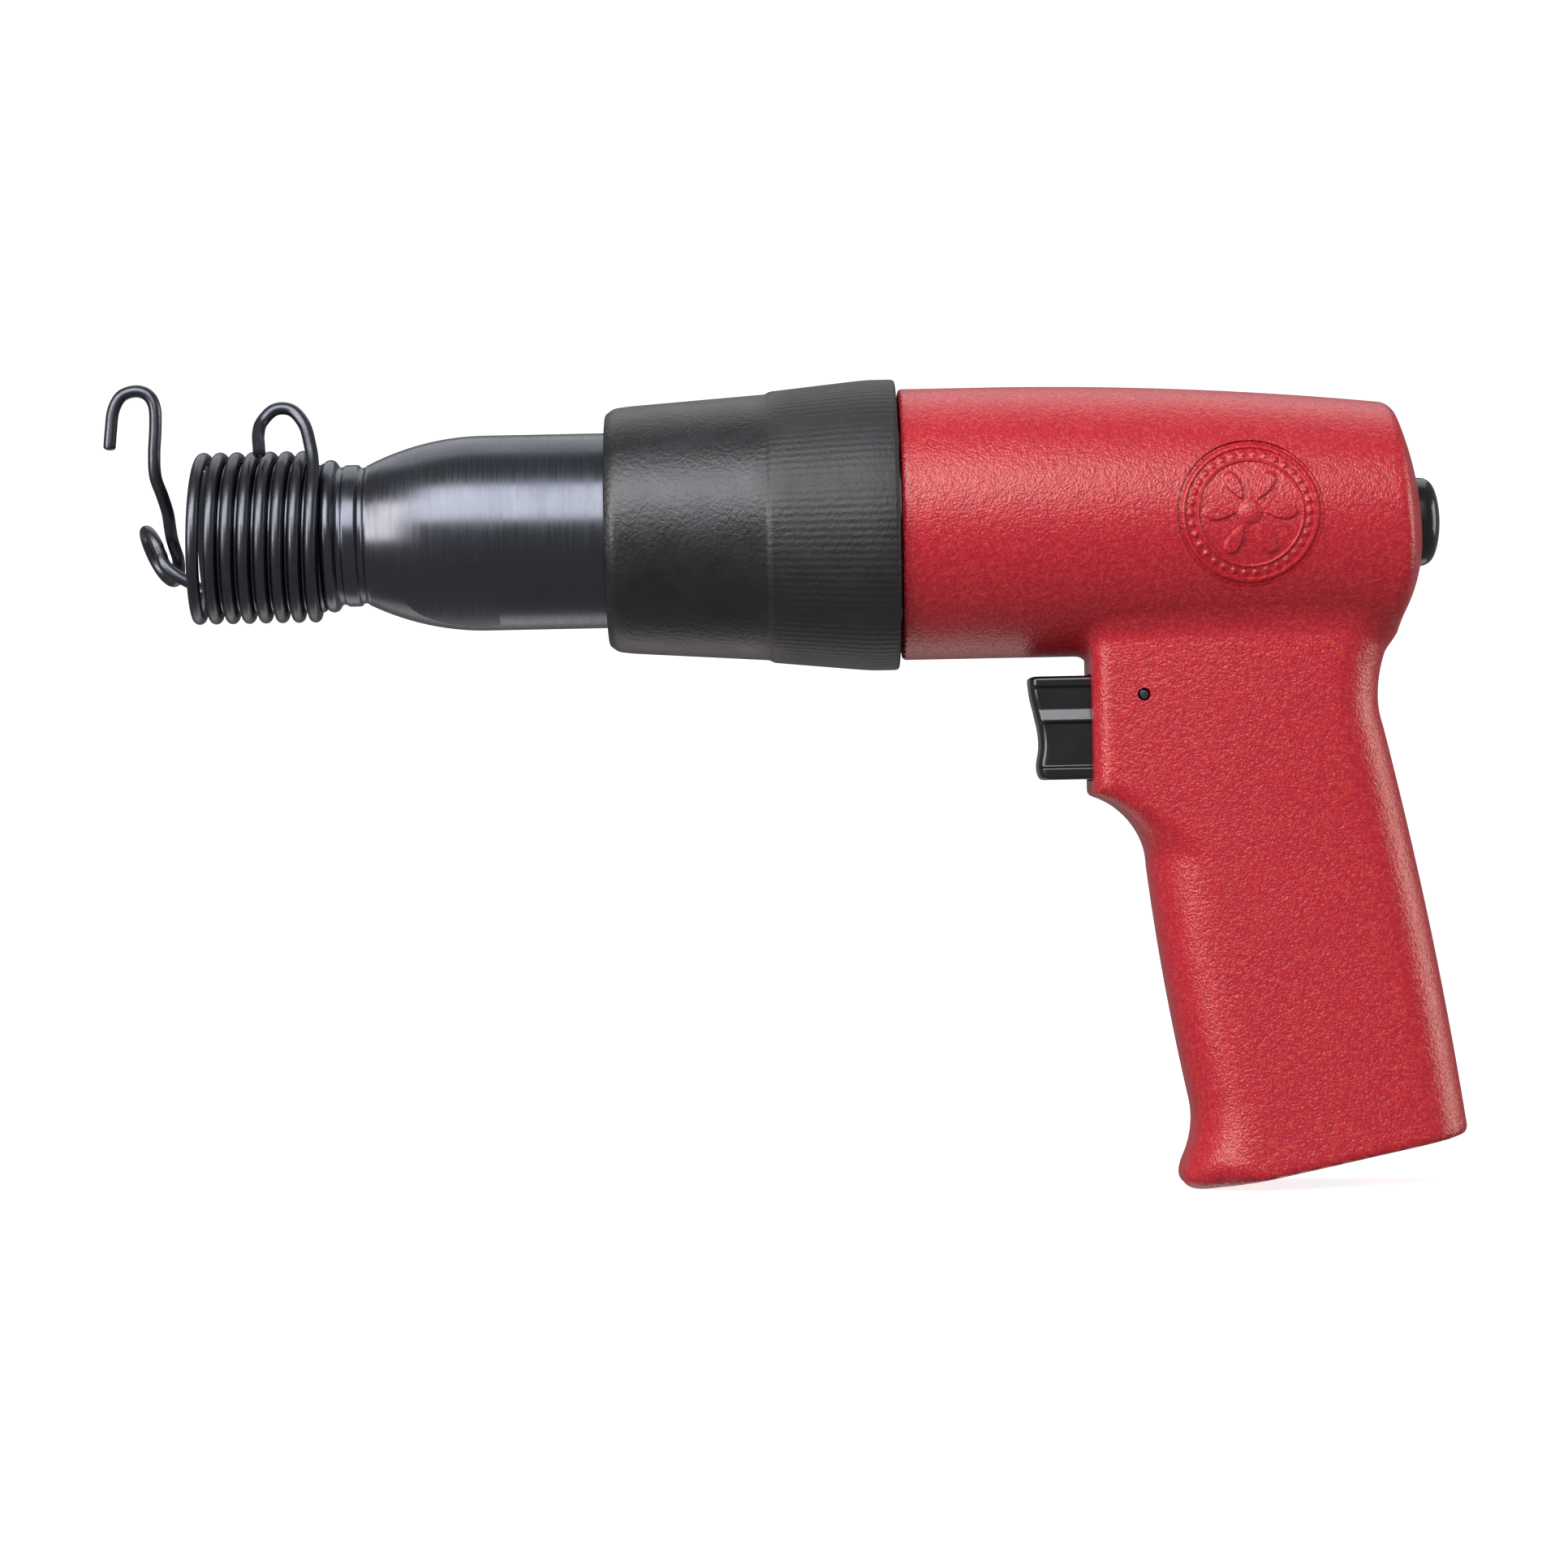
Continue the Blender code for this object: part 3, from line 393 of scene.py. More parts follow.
def turned_mesh(name, section, steps=96, at=(0.0, 0.0, 0.0), axis=(1.0, 0.0, 0.0)):
    """A section of (along, out) swung round the axis: each point is the start, plus along times the
    axis, plus out times a unit vector that turns. The section has both ends on the axis, or it is
    a loop round a hole."""
    along = np.array(axis, float) / np.linalg.norm(axis)
    side = np.cross(along, (0.0, 1.0, 0.0) if abs(along[1]) < 0.9 else (0.0, 0.0, 1.0))
    side /= np.linalg.norm(side)
    angle = np.linspace(0.0, 2.0 * math.pi, steps, endpoint=False)[:, None]
    around = np.cos(angle) * side + np.sin(angle) * np.cross(along, side)
    points = np.array(at) + section[:, :1, None] * along + section[:, 1:, None] * around
    return grid_mesh(name, points, loop=section[0][1] > 0.0)


def rod_cutter(name, start, end, radius, at=(0.0, 0.0, 0.0), axis=(1.0, 0.0, 0.0), steps=48):
    section = np.array([(start, 0.0), (start, radius), (end, radius), (end, 0.0)])
    return placed(turned_mesh(name, section, steps, at, axis))


def carve(target, cutters):
    """The cutters are joined into one and taken away, which leaves crisp machined edges."""
    first, *others = cutters
    for other in others:
        step = first.modifiers.new(other.name, "BOOLEAN")
        step.operation = "UNION"
        step.solver = "EXACT"
        step.object = other
    step = target.modifiers.new("machined", "BOOLEAN")
    step.operation = "DIFFERENCE"
    step.solver = "EXACT"
    step.object = first
    seen = target.evaluated_get(bpy.context.evaluated_depsgraph_get())
    carved = bpy.data.meshes.new_from_object(seen)
    target.modifiers.clear()
    target.data = carved
    for spent in cutters:
        bpy.data.objects.remove(spent, do_unlink=True)
    smooth_faces(carved)


def block_mesh(name, low, high, radius, steps=6):
    """A box along Y whose four long edges are round: quarter circles set in the corners of a
    rectangle, carried across."""
    angle = np.radians(np.linspace(0.0, 90.0, steps))
    quarters = [(high[0] - radius, high[2] - radius), (low[0] + radius, high[2] - radius),
                (low[0] + radius, low[2] + radius), (high[0] - radius, low[2] + radius)]
    ring = np.concatenate([
        np.stack([x + radius * np.cos(angle + k * math.pi / 2),
                  z + radius * np.sin(angle + k * math.pi / 2)], axis=-1)
        for k, (x, z) in enumerate(quarters)])
    middle = ring.mean(axis=0)
    across = [low[1], low[1], high[1], high[1]]
    share = [0.0, 1.0, 1.0, 0.0]
    rows = [np.insert(middle + (ring - middle) * s, 1, y, axis=1) for s, y in zip(share, across)]
    return grid_mesh(name, np.array(rows))


# %% [markdown]
# ## The housing
# The real housing is one aluminium casting: a barrel body that tapers to a domed back, and a raked
# grip that flows into it with a fillet. A grid cannot go round a branch without a seam, so this
# shape is given as a distance: for every point in space, how far it is outside the skin. Two such
# solids join with a fillet, or meet with a rounded edge, by plain arithmetic on their distances.


# %% Joining solids by their distances
def meet(a, b, radius):
    """Both solids at once, the shared edge rounded outwards: beyond both offset skins the
    distance is the length of the two excesses, less the radius."""
    a_over, b_over = np.maximum(a + radius, 0.0), np.maximum(b + radius, 0.0)
    return np.minimum(np.maximum(a + radius, b + radius), 0.0) + np.hypot(a_over, b_over) - radius


def fuse(a, b, radius):
    """Either solid, the inner corner filled: near both skins the distance is the radius less the
    length of the two shortfalls."""
    shortfall = np.hypot(np.maximum(radius - a, 0.0), np.maximum(radius - b, 0.0))
    return np.maximum(radius, np.minimum(a, b)) - shortfall


# %% The barrel body
BODY_R = 27.5
TAPER_START_X = 17.0           # behind this the top line falls
TAPER_RATE = 0.00069           # by this much per mm squared
REAR_X = 105.6                 # the dome's furthest point
REAR_Z = -5.0
REAR_UPPER_R = 64.0
REAR_LOWER_R = 32.0
REAR_PLAN_R = 68.0
REAR_EDGE_R = 1.5


def body_distance(x, y, z):
    """A round body: the distance from the axis, less that of the ellipse in the same direction.
    It meets a dome made of two arcs, one above and one below the furthest point."""
    drop = TAPER_RATE * np.maximum(0.0, x - TAPER_START_X) ** 2
    up = np.where(z > 0.0, BODY_R - drop, BODY_R)
    out = np.maximum(np.hypot(y, z), 1e-6)
    skin = out - out / np.maximum(np.hypot(y / (BODY_R - 0.5 * drop), z / up), 1e-6)
    radius = np.where(z > REAR_Z, REAR_UPPER_R, REAR_LOWER_R)
    reach = x + y**2 / (2.0 * REAR_PLAN_R) - REAR_X + radius
    rise = z - REAR_Z
    dome = np.where(reach > 0.0, np.hypot(reach, rise), np.abs(rise)) - radius
    return meet(meet(skin, dome, REAR_EDGE_R), -x, 0.8)


# %% The grip
BOSS_X = 37.8                  # face that the trigger comes out of
THROAT = (34.3, -70.0)         # the hollow under the trigger
THROAT_R = 14.65
FLARE_DOWN = 48.0              # the toe's flare starts this far below the hollow
WEB_X = 95.8                   # the hollow for the web of the hand
WEB_Z = -37.0
WEB_TOP_X = 99.2               # where the hollow ends above, in the body
BACK_TOP = (96.8, -43.0)       # the straighter back starts here
GRIP_HALF = 16.2
BASE_FRONT = np.array([58.8, 0.0, -135.7])
BASE_REAR = np.array([112.2, 0.0, -125.0])
BASE_MIDDLE = (BASE_FRONT + BASE_REAR) / 2.0
base_run = (BASE_REAR - BASE_FRONT) / np.linalg.norm(BASE_REAR - BASE_FRONT)
UP_THE_GRIP = np.array([-base_run[2], 0.0, base_run[0]])


def grip_front(x, z):
    """How far a point lies in front of the finger side: a flat boss, a round hollow under it, and
    then a parabola that flares out again above the toe."""
    hollow = THROAT_R - np.hypot(x - THROAT[0], z - THROAT[1])
    boss = meet(BOSS_X - x, hollow, 1.0)
    down = np.maximum(0.0, THROAT[1] - z)
    flare = np.maximum(0.0, (down - FLARE_DOWN) / 14.0)
    line = THROAT[0] + THROAT_R + 0.113 * down + 0.00105 * down**2 - 5.8 * flare**2
    lean = 0.113 + 0.0021 * down - 0.829 * flare
    return np.where(z < THROAT[1], (line - x) / np.sqrt(1.0 + lean**2), boss)


def grip_back(x, z):
    """How far a point lies behind the grip: two arcs for the web of the hand, then a parabola."""
    arc_r = np.where(z > WEB_Z, 27.0, 18.0)
    web = arc_r - np.hypot(x - WEB_X - arc_r, z - WEB_Z)
    web = np.where(z > WEB_Z, np.maximum(web, x - WEB_TOP_X), web)
    down = BACK_TOP[1] - z
    lean = 0.245 - 0.0014 * down
    line = BACK_TOP[0] + 0.245 * down - 0.0007 * down**2
    return np.where(down > 0.0, (x - line) / np.sqrt(1.0 + lean**2), web)


def grip_distance(x, y, z):
    """The slab between front and back, with crowned sides, corners that grow rounder down the
    grip, and a flat sloping base."""
    down = np.maximum(0.0, THROAT[1] - z)
    half = GRIP_HALF + 2.0 * (down / 66.0) ** 2 + 0.0225 * np.maximum(0.0, z + 60.0)
    crown = 0.9 * ((x - 66.0 - 0.22 * down) / 25.0) ** 2
    side = np.abs(y) - half + np.minimum(crown, 2.0)
    grown = np.clip((-56.0 - z) / 14.0, 0.0, 1.0)
    corner = 4.0 + 8.5 * grown**2 * (3.0 - 2.0 * grown)
    slab = np.maximum(meet(grip_front(x, z), side, corner), meet(grip_back(x, z), side, 10.0))
    base = (BASE_MIDDLE[0] - x) * UP_THE_GRIP[0] + (BASE_MIDDLE[2] - z) * UP_THE_GRIP[2]
    toe = np.clip((70.0 - x) / 8.0, 0.0, 1.0)
    return np.maximum(meet(slab, base, 1.3 + 5.3 * toe), z + 12.0)


FILLET = 2.6                   # where the grip runs into the body


def housing_distance(x, y, z):
    return fuse(body_distance(x, y, z), grip_distance(x, y, z), FILLET)


# %% [markdown]
# A distance becomes a mesh by surface nets. Space is cut into small cells. Every cell that the skin
# passes through gets one point, at the mean of the places where its edges cross the skin, and every
# edge that crosses it joins the four cells round it with one quad. A few rounds of evening out, each
# followed by a step back onto the skin, make the net regular.


# %% Surface nets
def window(starts, lengths):
    """Slices that start at starts[k] and run for lengths[k] on each axis."""
    return tuple(slice(s, s + n) for s, n in zip(starts, lengths))


def surface_net(distance, low, high, step):
    """Points and quads of the skin where distance is zero, inside the box from low to high."""
    axes = [np.arange(a, b + step, step) for a, b in zip(low, high)]
    grid = np.stack(np.meshgrid(*axes, indexing="ij"), axis=-1)
    value = distance(grid[..., 0], grid[..., 1], grid[..., 2])
    inside = value < 0.0
    cells = np.array(value.shape) - 1
    total, count = np.zeros((*cells, 3)), np.zeros(cells)
    crossings = []
    for axis in range(3):
        lengths = np.array(value.shape)
        lengths[axis] -= 1
        near = window((0, 0, 0), lengths)
        far = window(np.eye(3, dtype=int)[axis], lengths)
        crossed = inside[near] != inside[far]
        share = np.where(crossed, value[near] / np.where(crossed, value[near] - value[far], 1.0), 0.0)
        spot = grid[near] + share[..., None] * step * np.eye(3)[axis]
        u, v = (axis + 1) % 3, (axis + 2) % 3
        for du in (0, 1):
            for dv in (0, 1):
                start = [0, 0, 0]
                start[u], start[v] = du, dv
                part = window(start, cells)
                total += spot[part] * crossed[part][..., None]
                count += crossed[part]
        crossings.append((crossed, inside[near], u, v))
    number = np.full(cells, -1)
    number[count > 0] = np.arange(np.count_nonzero(count))
    points = total[count > 0] / count[count > 0][:, None]
    quads = []
    for crossed, started_inside, u, v in crossings:
        at = np.argwhere(crossed)
        at = at[(at[:, u] > 0) & (at[:, v] > 0) & (at[:, u] < cells[u]) & (at[:, v] < cells[v])]
        one_u, one_v = np.eye(3, dtype=int)[u], np.eye(3, dtype=int)[v]
        ring = np.stack([number[tuple((at - a * one_u - b * one_v).T)]
                         for a, b in ((1, 1), (0, 1), (0, 0), (1, 0))], axis=-1)
        flip = ~started_inside[tuple(at.T)]
        ring[flip] = ring[flip][:, ::-1]
        quads.append(ring)
    return points, np.concatenate(quads)


def onto_skin(points, distance, rounds=2, nudge=0.05):
    """Each point steps against the slope by its own distance: Newton's method."""
    for _ in range(rounds):
        slope = np.stack([
            (distance(*(points + e).T) - distance(*(points - e).T)) / (2.0 * nudge)
            for e in nudge * np.eye(3)], axis=-1)
        size = np.maximum((slope**2).sum(axis=1), 0.25)
        points = points - (distance(*points.T) / size)[:, None] * slope
    return points


def evened(points, quads, distance, rounds=4):
    """Each point moves halfway to the mean of its neighbours, then back onto the skin."""
    ends = np.concatenate([quads[:, [k, (k + 1) % 4]] for k in range(4)])
    ends = np.concatenate([ends, ends[:, ::-1]])
    near = np.bincount(ends[:, 0], minlength=len(points))[:, None]
    for _ in range(rounds):
        mean = np.stack([np.bincount(ends[:, 0], weights=points[ends[:, 1], k], minlength=len(points))
                         for k in range(3)], axis=-1) / near
        points = onto_skin(0.5 * (points + mean), distance, 1)
    return onto_skin(points, distance)


# %% The housing's skin
NET_STEP = 0.86
net_points, net_quads = surface_net(housing_distance, (-1.5, -29.3, -138.0), (114.0, 29.3, 29.5),
                                    NET_STEP)
net_points = evened(net_points, net_quads, housing_distance)
housing = piece(mesh_of("housing_casting", net_points, net_quads), RED_ENAMEL, node="handle_housing")

# %% [markdown]
# ## Machining the casting
# After casting, the housing is bored from the front for the valve chest, from the back for the
# regulator, from the trigger's face for the throttle, and up from the base for the air inlet.
# Boolean cutters do what the drills do, and leave the crisp edges that a distance would round off.
# Two shallow round seats are cut in the sides as well, for the relief that follows.

# %% Bores, pocket and seats
THROTTLE_Z = -42.0
REGULATOR_Z = -1.5
DELIVERY_X = 62.7
CHEST_REAR_X = 44.5
POCKET_HALF_HEIGHT = 10.8
POCKET_HALF_WIDTH = 7.3
PIN = (47.8, 0.0, -35.7)
MEDALLION_X = 68.7
MEDALLION_Z = -0.4
MEDALLION_R = 14.5
SEAT_DEPTH = 1.7
INLET_AT = BASE_MIDDLE + 0.3 * UP_THE_GRIP
regulator_steps = np.array([(43.5, 0.0), (43.5, 7.0), (92.0, 7.0), (92.0, 8.1), (93.6, 8.1), (93.6, 7.0),
                            (101.3, 7.0), (101.3, 9.5), (115.0, 9.5), (115.0, 0.0)])
inlet_steps = np.array([(-4.0, 0.0), (-4.0, 9.8), (17.0, 9.8), (17.0, 8.1), (18.8, 8.1), (18.8, 4.0),
                        (92.0, 4.0), (92.0, 0.0)])
side_of_body = BODY_R - 0.5 * TAPER_RATE * (MEDALLION_X - TAPER_START_X) ** 2
holes = [
    rod_cutter("chest_bore", -3.0, CHEST_REAR_X, 21.3),
    placed(turned_mesh("regulator_bore", regulator_steps, 48, (0.0, 0.0, REGULATOR_Z))),
    rod_cutter("throttle_bore", 56.0, 88.0, 7.3, at=(0.0, 0.0, THROTTLE_Z)),
    rod_cutter("delivery_passage", 0.0, REGULATOR_Z - THROTTLE_Z, 3.0,
               at=(DELIVERY_X, 0.0, THROTTLE_Z), axis=(0, 0, 1), steps=24),
    placed(turned_mesh("inlet_bore", inlet_steps, 48, INLET_AT, UP_THE_GRIP)),
    rod_cutter("pin_hole", -25.0, 25.0, 1.3, at=PIN, axis=(0, 1, 0), steps=24),
    placed(block_mesh("trigger_pocket", (30.0, -POCKET_HALF_WIDTH, THROTTLE_Z - POCKET_HALF_HEIGHT),
                      (57.0, POCKET_HALF_WIDTH, THROTTLE_Z + POCKET_HALF_HEIGHT), 0.6)),
]
for side, label in ((-1.0, "near_seat"), (1.0, "far_seat")):
    holes.append(rod_cutter(label, side_of_body - SEAT_DEPTH - 4.0, side_of_body + 4.0,
                            MEDALLION_R + 0.06, (MEDALLION_X, 0.0, MEDALLION_Z), (0, side, 0), 160))
carve(housing, holes)
print("housing after machining", len(housing.data.polygons), "faces")

# %% [markdown]
# ## The side medallions
# Castings like this carry a round cast relief on each side. Here it is a plain decorative one: two
# raised rings, a circle of small domes between them, and a rosette of six petals round a boss. Its
# height is a function of the radius and the angle, added to the curve of the housing's side, so the
# relief follows the round body.


# %% Relief of the medallion
def step_up(low, high, value):
    """0 below low, 1 above high, and the cubic 3t^2 - 2t^3 in between."""
    t = np.clip((value - low) / (high - low), 0.0, 1.0)
    return t * t * (3.0 - 2.0 * t)


def band(value, start, end, soft):
    return step_up(start, start + soft, value) * (1.0 - step_up(end - soft, end, value))


def relief(r, turn):
    """Height over the body's skin: a sunk field with rings, domes, petals and a boss on it."""
    field = -0.55
    rings = 0.62 * band(r, 12.75, 13.85, 0.35) + 0.5 * band(r, 10.1, 10.85, 0.3)
    domes_round = 34
    slot = (turn * domes_round / (2.0 * math.pi) + 0.5) % 1.0 - 0.5
    sideways = slot * 2.0 * math.pi * 11.8 / domes_round
    domes = 0.5 * np.sqrt(np.clip(1.0 - (np.hypot(r - 11.8, sideways) / 0.62) ** 2, 0.0, 1.0))
    closing = 0.15 + 0.85 * ((r - 6.1) / 3.3) ** 2
    petals = 0.55 * step_up(0.0, 0.3, np.cos(6.0 * turn) - closing)
    boss = 0.6 * np.sqrt(np.clip(1.0 - (r / 2.3) ** 2, 0.0, 1.0))
    return field + rings + domes + petals + boss


def medallion_points(side, rows=84, columns=300):
    """The relief is laid on the ellipse of the body's side, and closed by a wall and a flat back."""
    r = MEDALLION_R * np.linspace(1.0, 0.0, rows)[:, None]
    turn = np.linspace(0.0, 2.0 * math.pi, columns, endpoint=False)[None, :]
    x = MEDALLION_X + r * np.cos(turn)
    z = MEDALLION_Z + r * np.sin(turn)
    drop = TAPER_RATE * (x - TAPER_START_X) ** 2
    up = np.where(z > 0.0, BODY_R - drop, BODY_R)
    skin = (BODY_R - 0.5 * drop) * np.sqrt(1.0 - (z / up) ** 2)
    face = np.stack([x, side * (skin + relief(r, turn)), z], axis=-1)
    back_y = side * (side_of_body - SEAT_DEPTH - 3.8)
    wall = face[0].copy()
    wall[:, 1] = back_y
    middle = np.broadcast_to(np.array([MEDALLION_X, back_y, MEDALLION_Z]), wall.shape)
    return np.concatenate([middle[None], wall[None], face])


for side, label in ((-1.0, "side_medallion_near"), (1.0, "side_medallion_far")):
    made = piece(grid_mesh(label, medallion_points(side)), RED_ENAMEL)
    smooth_faces(made.data, 60.0)

# %% [markdown]
# ## The barrel
# The barrel is turned from bar. Its nose carries a coarse round thread that the retainer's coil
# screws on, then a collar, a curve that swells to the full diameter, and two flats for a spanner.
# The thread is a section whose radius depends on the angle as well: the groove's middle follows the
# same helix as the coil, so the wire lies in it.

# %% Barrel dimensions
BARREL_R = 19.8
OGIVE_FRONT_X = -107.6
OGIVE_REAR_X = -84.0
COIL_R = 16.2
WIRE_R = 1.29
COIL_PITCH = 3.37
COIL_FRONT_X = -143.1
COIL_START = math.radians(-40.0)
COIL_TURNS = 7.49
NOSE_ROOT_R = 14.5


def nose_thread(x, turn):
    """Radius of the threaded nose: the root, plus a crest that rises as one minus the cosine of
    the distance from the helix, in turns."""
    off_helix = (x - COIL_FRONT_X) / COIL_PITCH - (COIL_START - turn) / (2.0 * math.pi)
    crest = 0.5 * (1.0 - np.cos(2.0 * math.pi * off_helix))
    return np.minimum(NOSE_ROOT_R + 0.95 * crest, 13.5 + 0.9 * (x - MUZZLE_X))


def barrel_mesh(columns=216):
    """Rows of the section from the muzzle over the outside to the back, and home by the bore."""
    nose_x = np.arange(-140.9, -116.6, 0.2)
    turn = np.linspace(0.0, 2.0 * math.pi, columns, endpoint=False)
    nose_r = nose_thread(nose_x[:, None], turn[None, :])
    run, rise = OGIVE_REAR_X - OGIVE_FRONT_X, BARREL_R - 14.3
    swell_r = (run**2 + rise**2) / (2.0 * rise)
    swell_x = np.linspace(OGIVE_FRONT_X, OGIVE_REAR_X, 40)
    swell = np.stack([swell_x, BARREL_R - swell_r + np.sqrt(swell_r**2 - (OGIVE_REAR_X - swell_x) ** 2)],
                     axis=-1)
    neck = eased([(-116.5, 14.6), (-116.2, 15.2, 0.3), (-115.2, 15.6, 0.8), (-114.2, 15.2, 0.4),
                  (-113.4, 13.9, 0.5), (-112.6, 14.0, 0.3), (-112.1, 14.4, 0.3), (-109.6, 14.4, 0.3),
                  (-109.1, 13.8, 0.2), (-108.3, 13.8, 0.2), (-107.7, 14.3)])
    rear = eased([(-20.0, BARREL_R), (-13.5, BARREL_R, 0.3), (-12.7, 18.4, 0.3), (-9.3, 18.4, 0.3),
                  (-8.5, BARREL_R, 0.3), (0.6, BARREL_R), (1.6, 21.0), (21.0, 21.0), (22.0, 20.0),
                  (22.0, 9.55, 0.3), (-109.0, 9.55), (-109.0, 5.15), (-140.0, 5.15, 0.5),
                  (-141.0, 6.1, 0.3), (-141.0, 13.3, 0.4), (-140.95, 13.5)])
    plain = np.concatenate([neck, swell, [(-60.0, BARREL_R)], rear])
    x = np.concatenate([nose_x, plain[:, 0]])
    r = np.concatenate([nose_r, np.repeat(plain[:, 1:], columns, axis=1)])
    points = np.stack([np.repeat(x[:, None], columns, axis=1), r * np.cos(turn), r * np.sin(turn)],
                      axis=-1)
    return grid_mesh("barrel_steel", points, loop=True)


barrel = piece(barrel_mesh(), BLACK_OXIDE, node="barrel")

# %% Spanner flats and exhaust ports
FLAT_HALF = 17.45
FLAT_ANGLE = math.radians(49.0)
FLAT_FRONT_X = -103.0
FLAT_REAR_X = -81.0
PORT_X = -32.0
cuts = []
for side, label in ((-1.0, "near_flat"), (1.0, "far_flat")):
    square = np.array([0.0, side * math.cos(FLAT_ANGLE), side * math.sin(FLAT_ANGLE)])
    beside = np.cross(square, (1.0, 0.0, 0.0))
    corners = [np.array([x, 0.0, 0.0]) + depth * square + across * beside
               for depth, rear in ((FLAT_HALF, FLAT_REAR_X), (FLAT_HALF + 9.0, FLAT_REAR_X - 0.3))
               for x, across in ((FLAT_FRONT_X, -24), (FLAT_FRONT_X, 24), (rear, 24), (rear, -24))]
    sides = np.array([(0, 1, 2, 3), (4, 5, 6, 7), (0, 1, 5, 4), (1, 2, 6, 5), (2, 3, 7, 6), (3, 0, 4, 7)])
    cuts.append(placed(mesh_of(label, corners, sides)))
for axis, label in (((0, 1, 0), "ports_across"), ((0, 0, 1), "ports_upright")):
    cuts.append(rod_cutter(label, -25.0, 25.0, 2.4, at=(PORT_X, 0.0, 0.0), axis=axis, steps=32))
carve(barrel, cuts)

# %% [markdown]
# ## The exhaust sleeve
# Moulded rubber round the barrel: a cone with a rounded front lip, open inside so that the exhaust
# blows forward over the barrel. A small step marks where the thicker gripping part begins. It is a
# section swung round the axis, its corners eased as a mould's are.

# %% Sleeve
sleeve_section = eased([
    (-59.3, 22.4, 0.3), (-59.3, 23.4, 0.5), (-57.6, 24.7, 0.9), (-54.6, 25.1, 1.2), (-26.9, 27.0, 0.3),
    (-25.9, 27.55, 0.4), (-9.0, 29.25, 2.0), (-5.8, 29.5, 1.0), (-0.5, 29.5, 1.0), (-0.5, 20.1, 0.4),
    (-8.9, 20.1, 0.3), (-9.7, 18.9, 0.3), (-12.3, 18.9, 0.3), (-13.1, 20.1, 0.3), (-20.0, 20.1, 0.6),
    (-22.0, 22.4, 0.6)], closed=True)
piece(turned_mesh("exhaust_sleeve_rubber", sleeve_section, 256), SLEEVE_RUBBER, node="exhaust_sleeve")

# %% [markdown]
# ## The wire retainer
# One length of 2.6 mm spring wire is coiled to screw on the nose, with a finger bail at its back.
# At the front it leads forward into a small loop, which is the gate's hinge, and the gate arm rises
# from the loop to a hook. The wire is a circle carried along a path of arcs and eased knots. The
# gate turns about the loop's own axis. Its first fifth of a turn slides over a thinner tail of the
# coil's wire, so the wire looks whole at every angle.


# %% Paths for the wire
def through(knots, per_span):
    """A Catmull-Rom curve: between two knots the point is a cubic in t of the four nearest."""
    p = np.array([knots[0], *knots, knots[-1]], float)
    t = (np.arange(per_span) / per_span)[None, :, None]
    a, b, c, d = (p[k:len(p) - 3 + k][:, None, :] for k in range(4))
    curve = 0.5 * (2 * b + (c - a) * t + (2 * a - 5 * b + 4 * c - d) * t**2
                   + (3 * b - a - 3 * c + d) * t**3)
    return np.concatenate([curve.reshape(-1, p.shape[1]), p[-1:]])


LOOP_R = 5.8
LOOP_CENTRE = np.array([-154.3, 20.4, -2.6])
LOOP_AXIS = np.array([0.88, 0.34, 0.32])
LOOP_AXIS /= np.linalg.norm(LOOP_AXIS)
loop_down = np.array([0.35, 0.0, -0.94])
loop_down -= LOOP_AXIS * loop_down.dot(LOOP_AXIS)
loop_down /= np.linalg.norm(loop_down)
loop_inner = np.cross(loop_down, LOOP_AXIS)


def loop_arc(start, end, count, advance_end=0.0):
    """Points of the small loop: a circle about its axis, in degrees from its inner side, rising
    along the axis to advance_end."""
    a = np.radians(np.linspace(start, end, count))[:, None]
    along = np.linspace(0.0, advance_end, count)[:, None] * LOOP_AXIS
    return LOOP_CENTRE + LOOP_R * (np.cos(a) * loop_inner - np.sin(a) * loop_down) + along


def tube_points(path, radius, around=18):
    """A circle carried along the path. Its frame is handed from point to point by taking out the
    part that lies along the new tangent, and both ends close in a low dome."""
    path = np.asarray(path, float)
    path = path[np.insert(np.linalg.norm(np.diff(path, axis=0), axis=1) > 1e-4, 0, True)]
    tangent = np.gradient(path, axis=0)
    tangent /= np.linalg.norm(tangent, axis=1)[:, None]
    normal = np.zeros_like(path)
    normal[0] = np.cross(tangent[0], (0.31, 0.74, 0.6))
    for i in range(1, len(path)):
        normal[i] = normal[i - 1] - tangent[i] * normal[i - 1].dot(tangent[i])
    normal[0] -= tangent[0] * normal[0].dot(tangent[0])
    normal /= np.linalg.norm(normal, axis=1)[:, None]
    sideways = np.cross(tangent, normal)
    radius = np.broadcast_to(radius, len(path)).astype(float)
    dome = np.radians([90.0, 65.0, 40.0, 18.0])
    first = path[0] - tangent[0] * (0.5 * radius[0] * (np.sin(dome) - 1.0))[:, None]
    last = path[-1] + tangent[-1] * (0.5 * radius[-1] * (np.sin(dome[::-1]) - 1.0))[:, None]
    centre = np.concatenate([first, path[2:-2], last])
    rows = np.concatenate([np.zeros(4, int), np.arange(2, len(path) - 2), np.full(4, len(path) - 1)])
    size = radius[rows]
    size[:4] *= np.cos(dome)
    size[-4:] *= np.cos(dome[::-1])
    angle = np.linspace(0.0, 2.0 * math.pi, around, endpoint=False)[None, :, None]
    ring = np.cos(angle) * normal[rows][:, None] + np.sin(angle) * sideways[rows][:, None]
    return centre[:, None] + size[:, None, None] * ring


def wire_piece(name, path, radius, body, node):
    return piece(grid_mesh(name, tube_points(path, radius)), SPRING_WIRE, body, node)


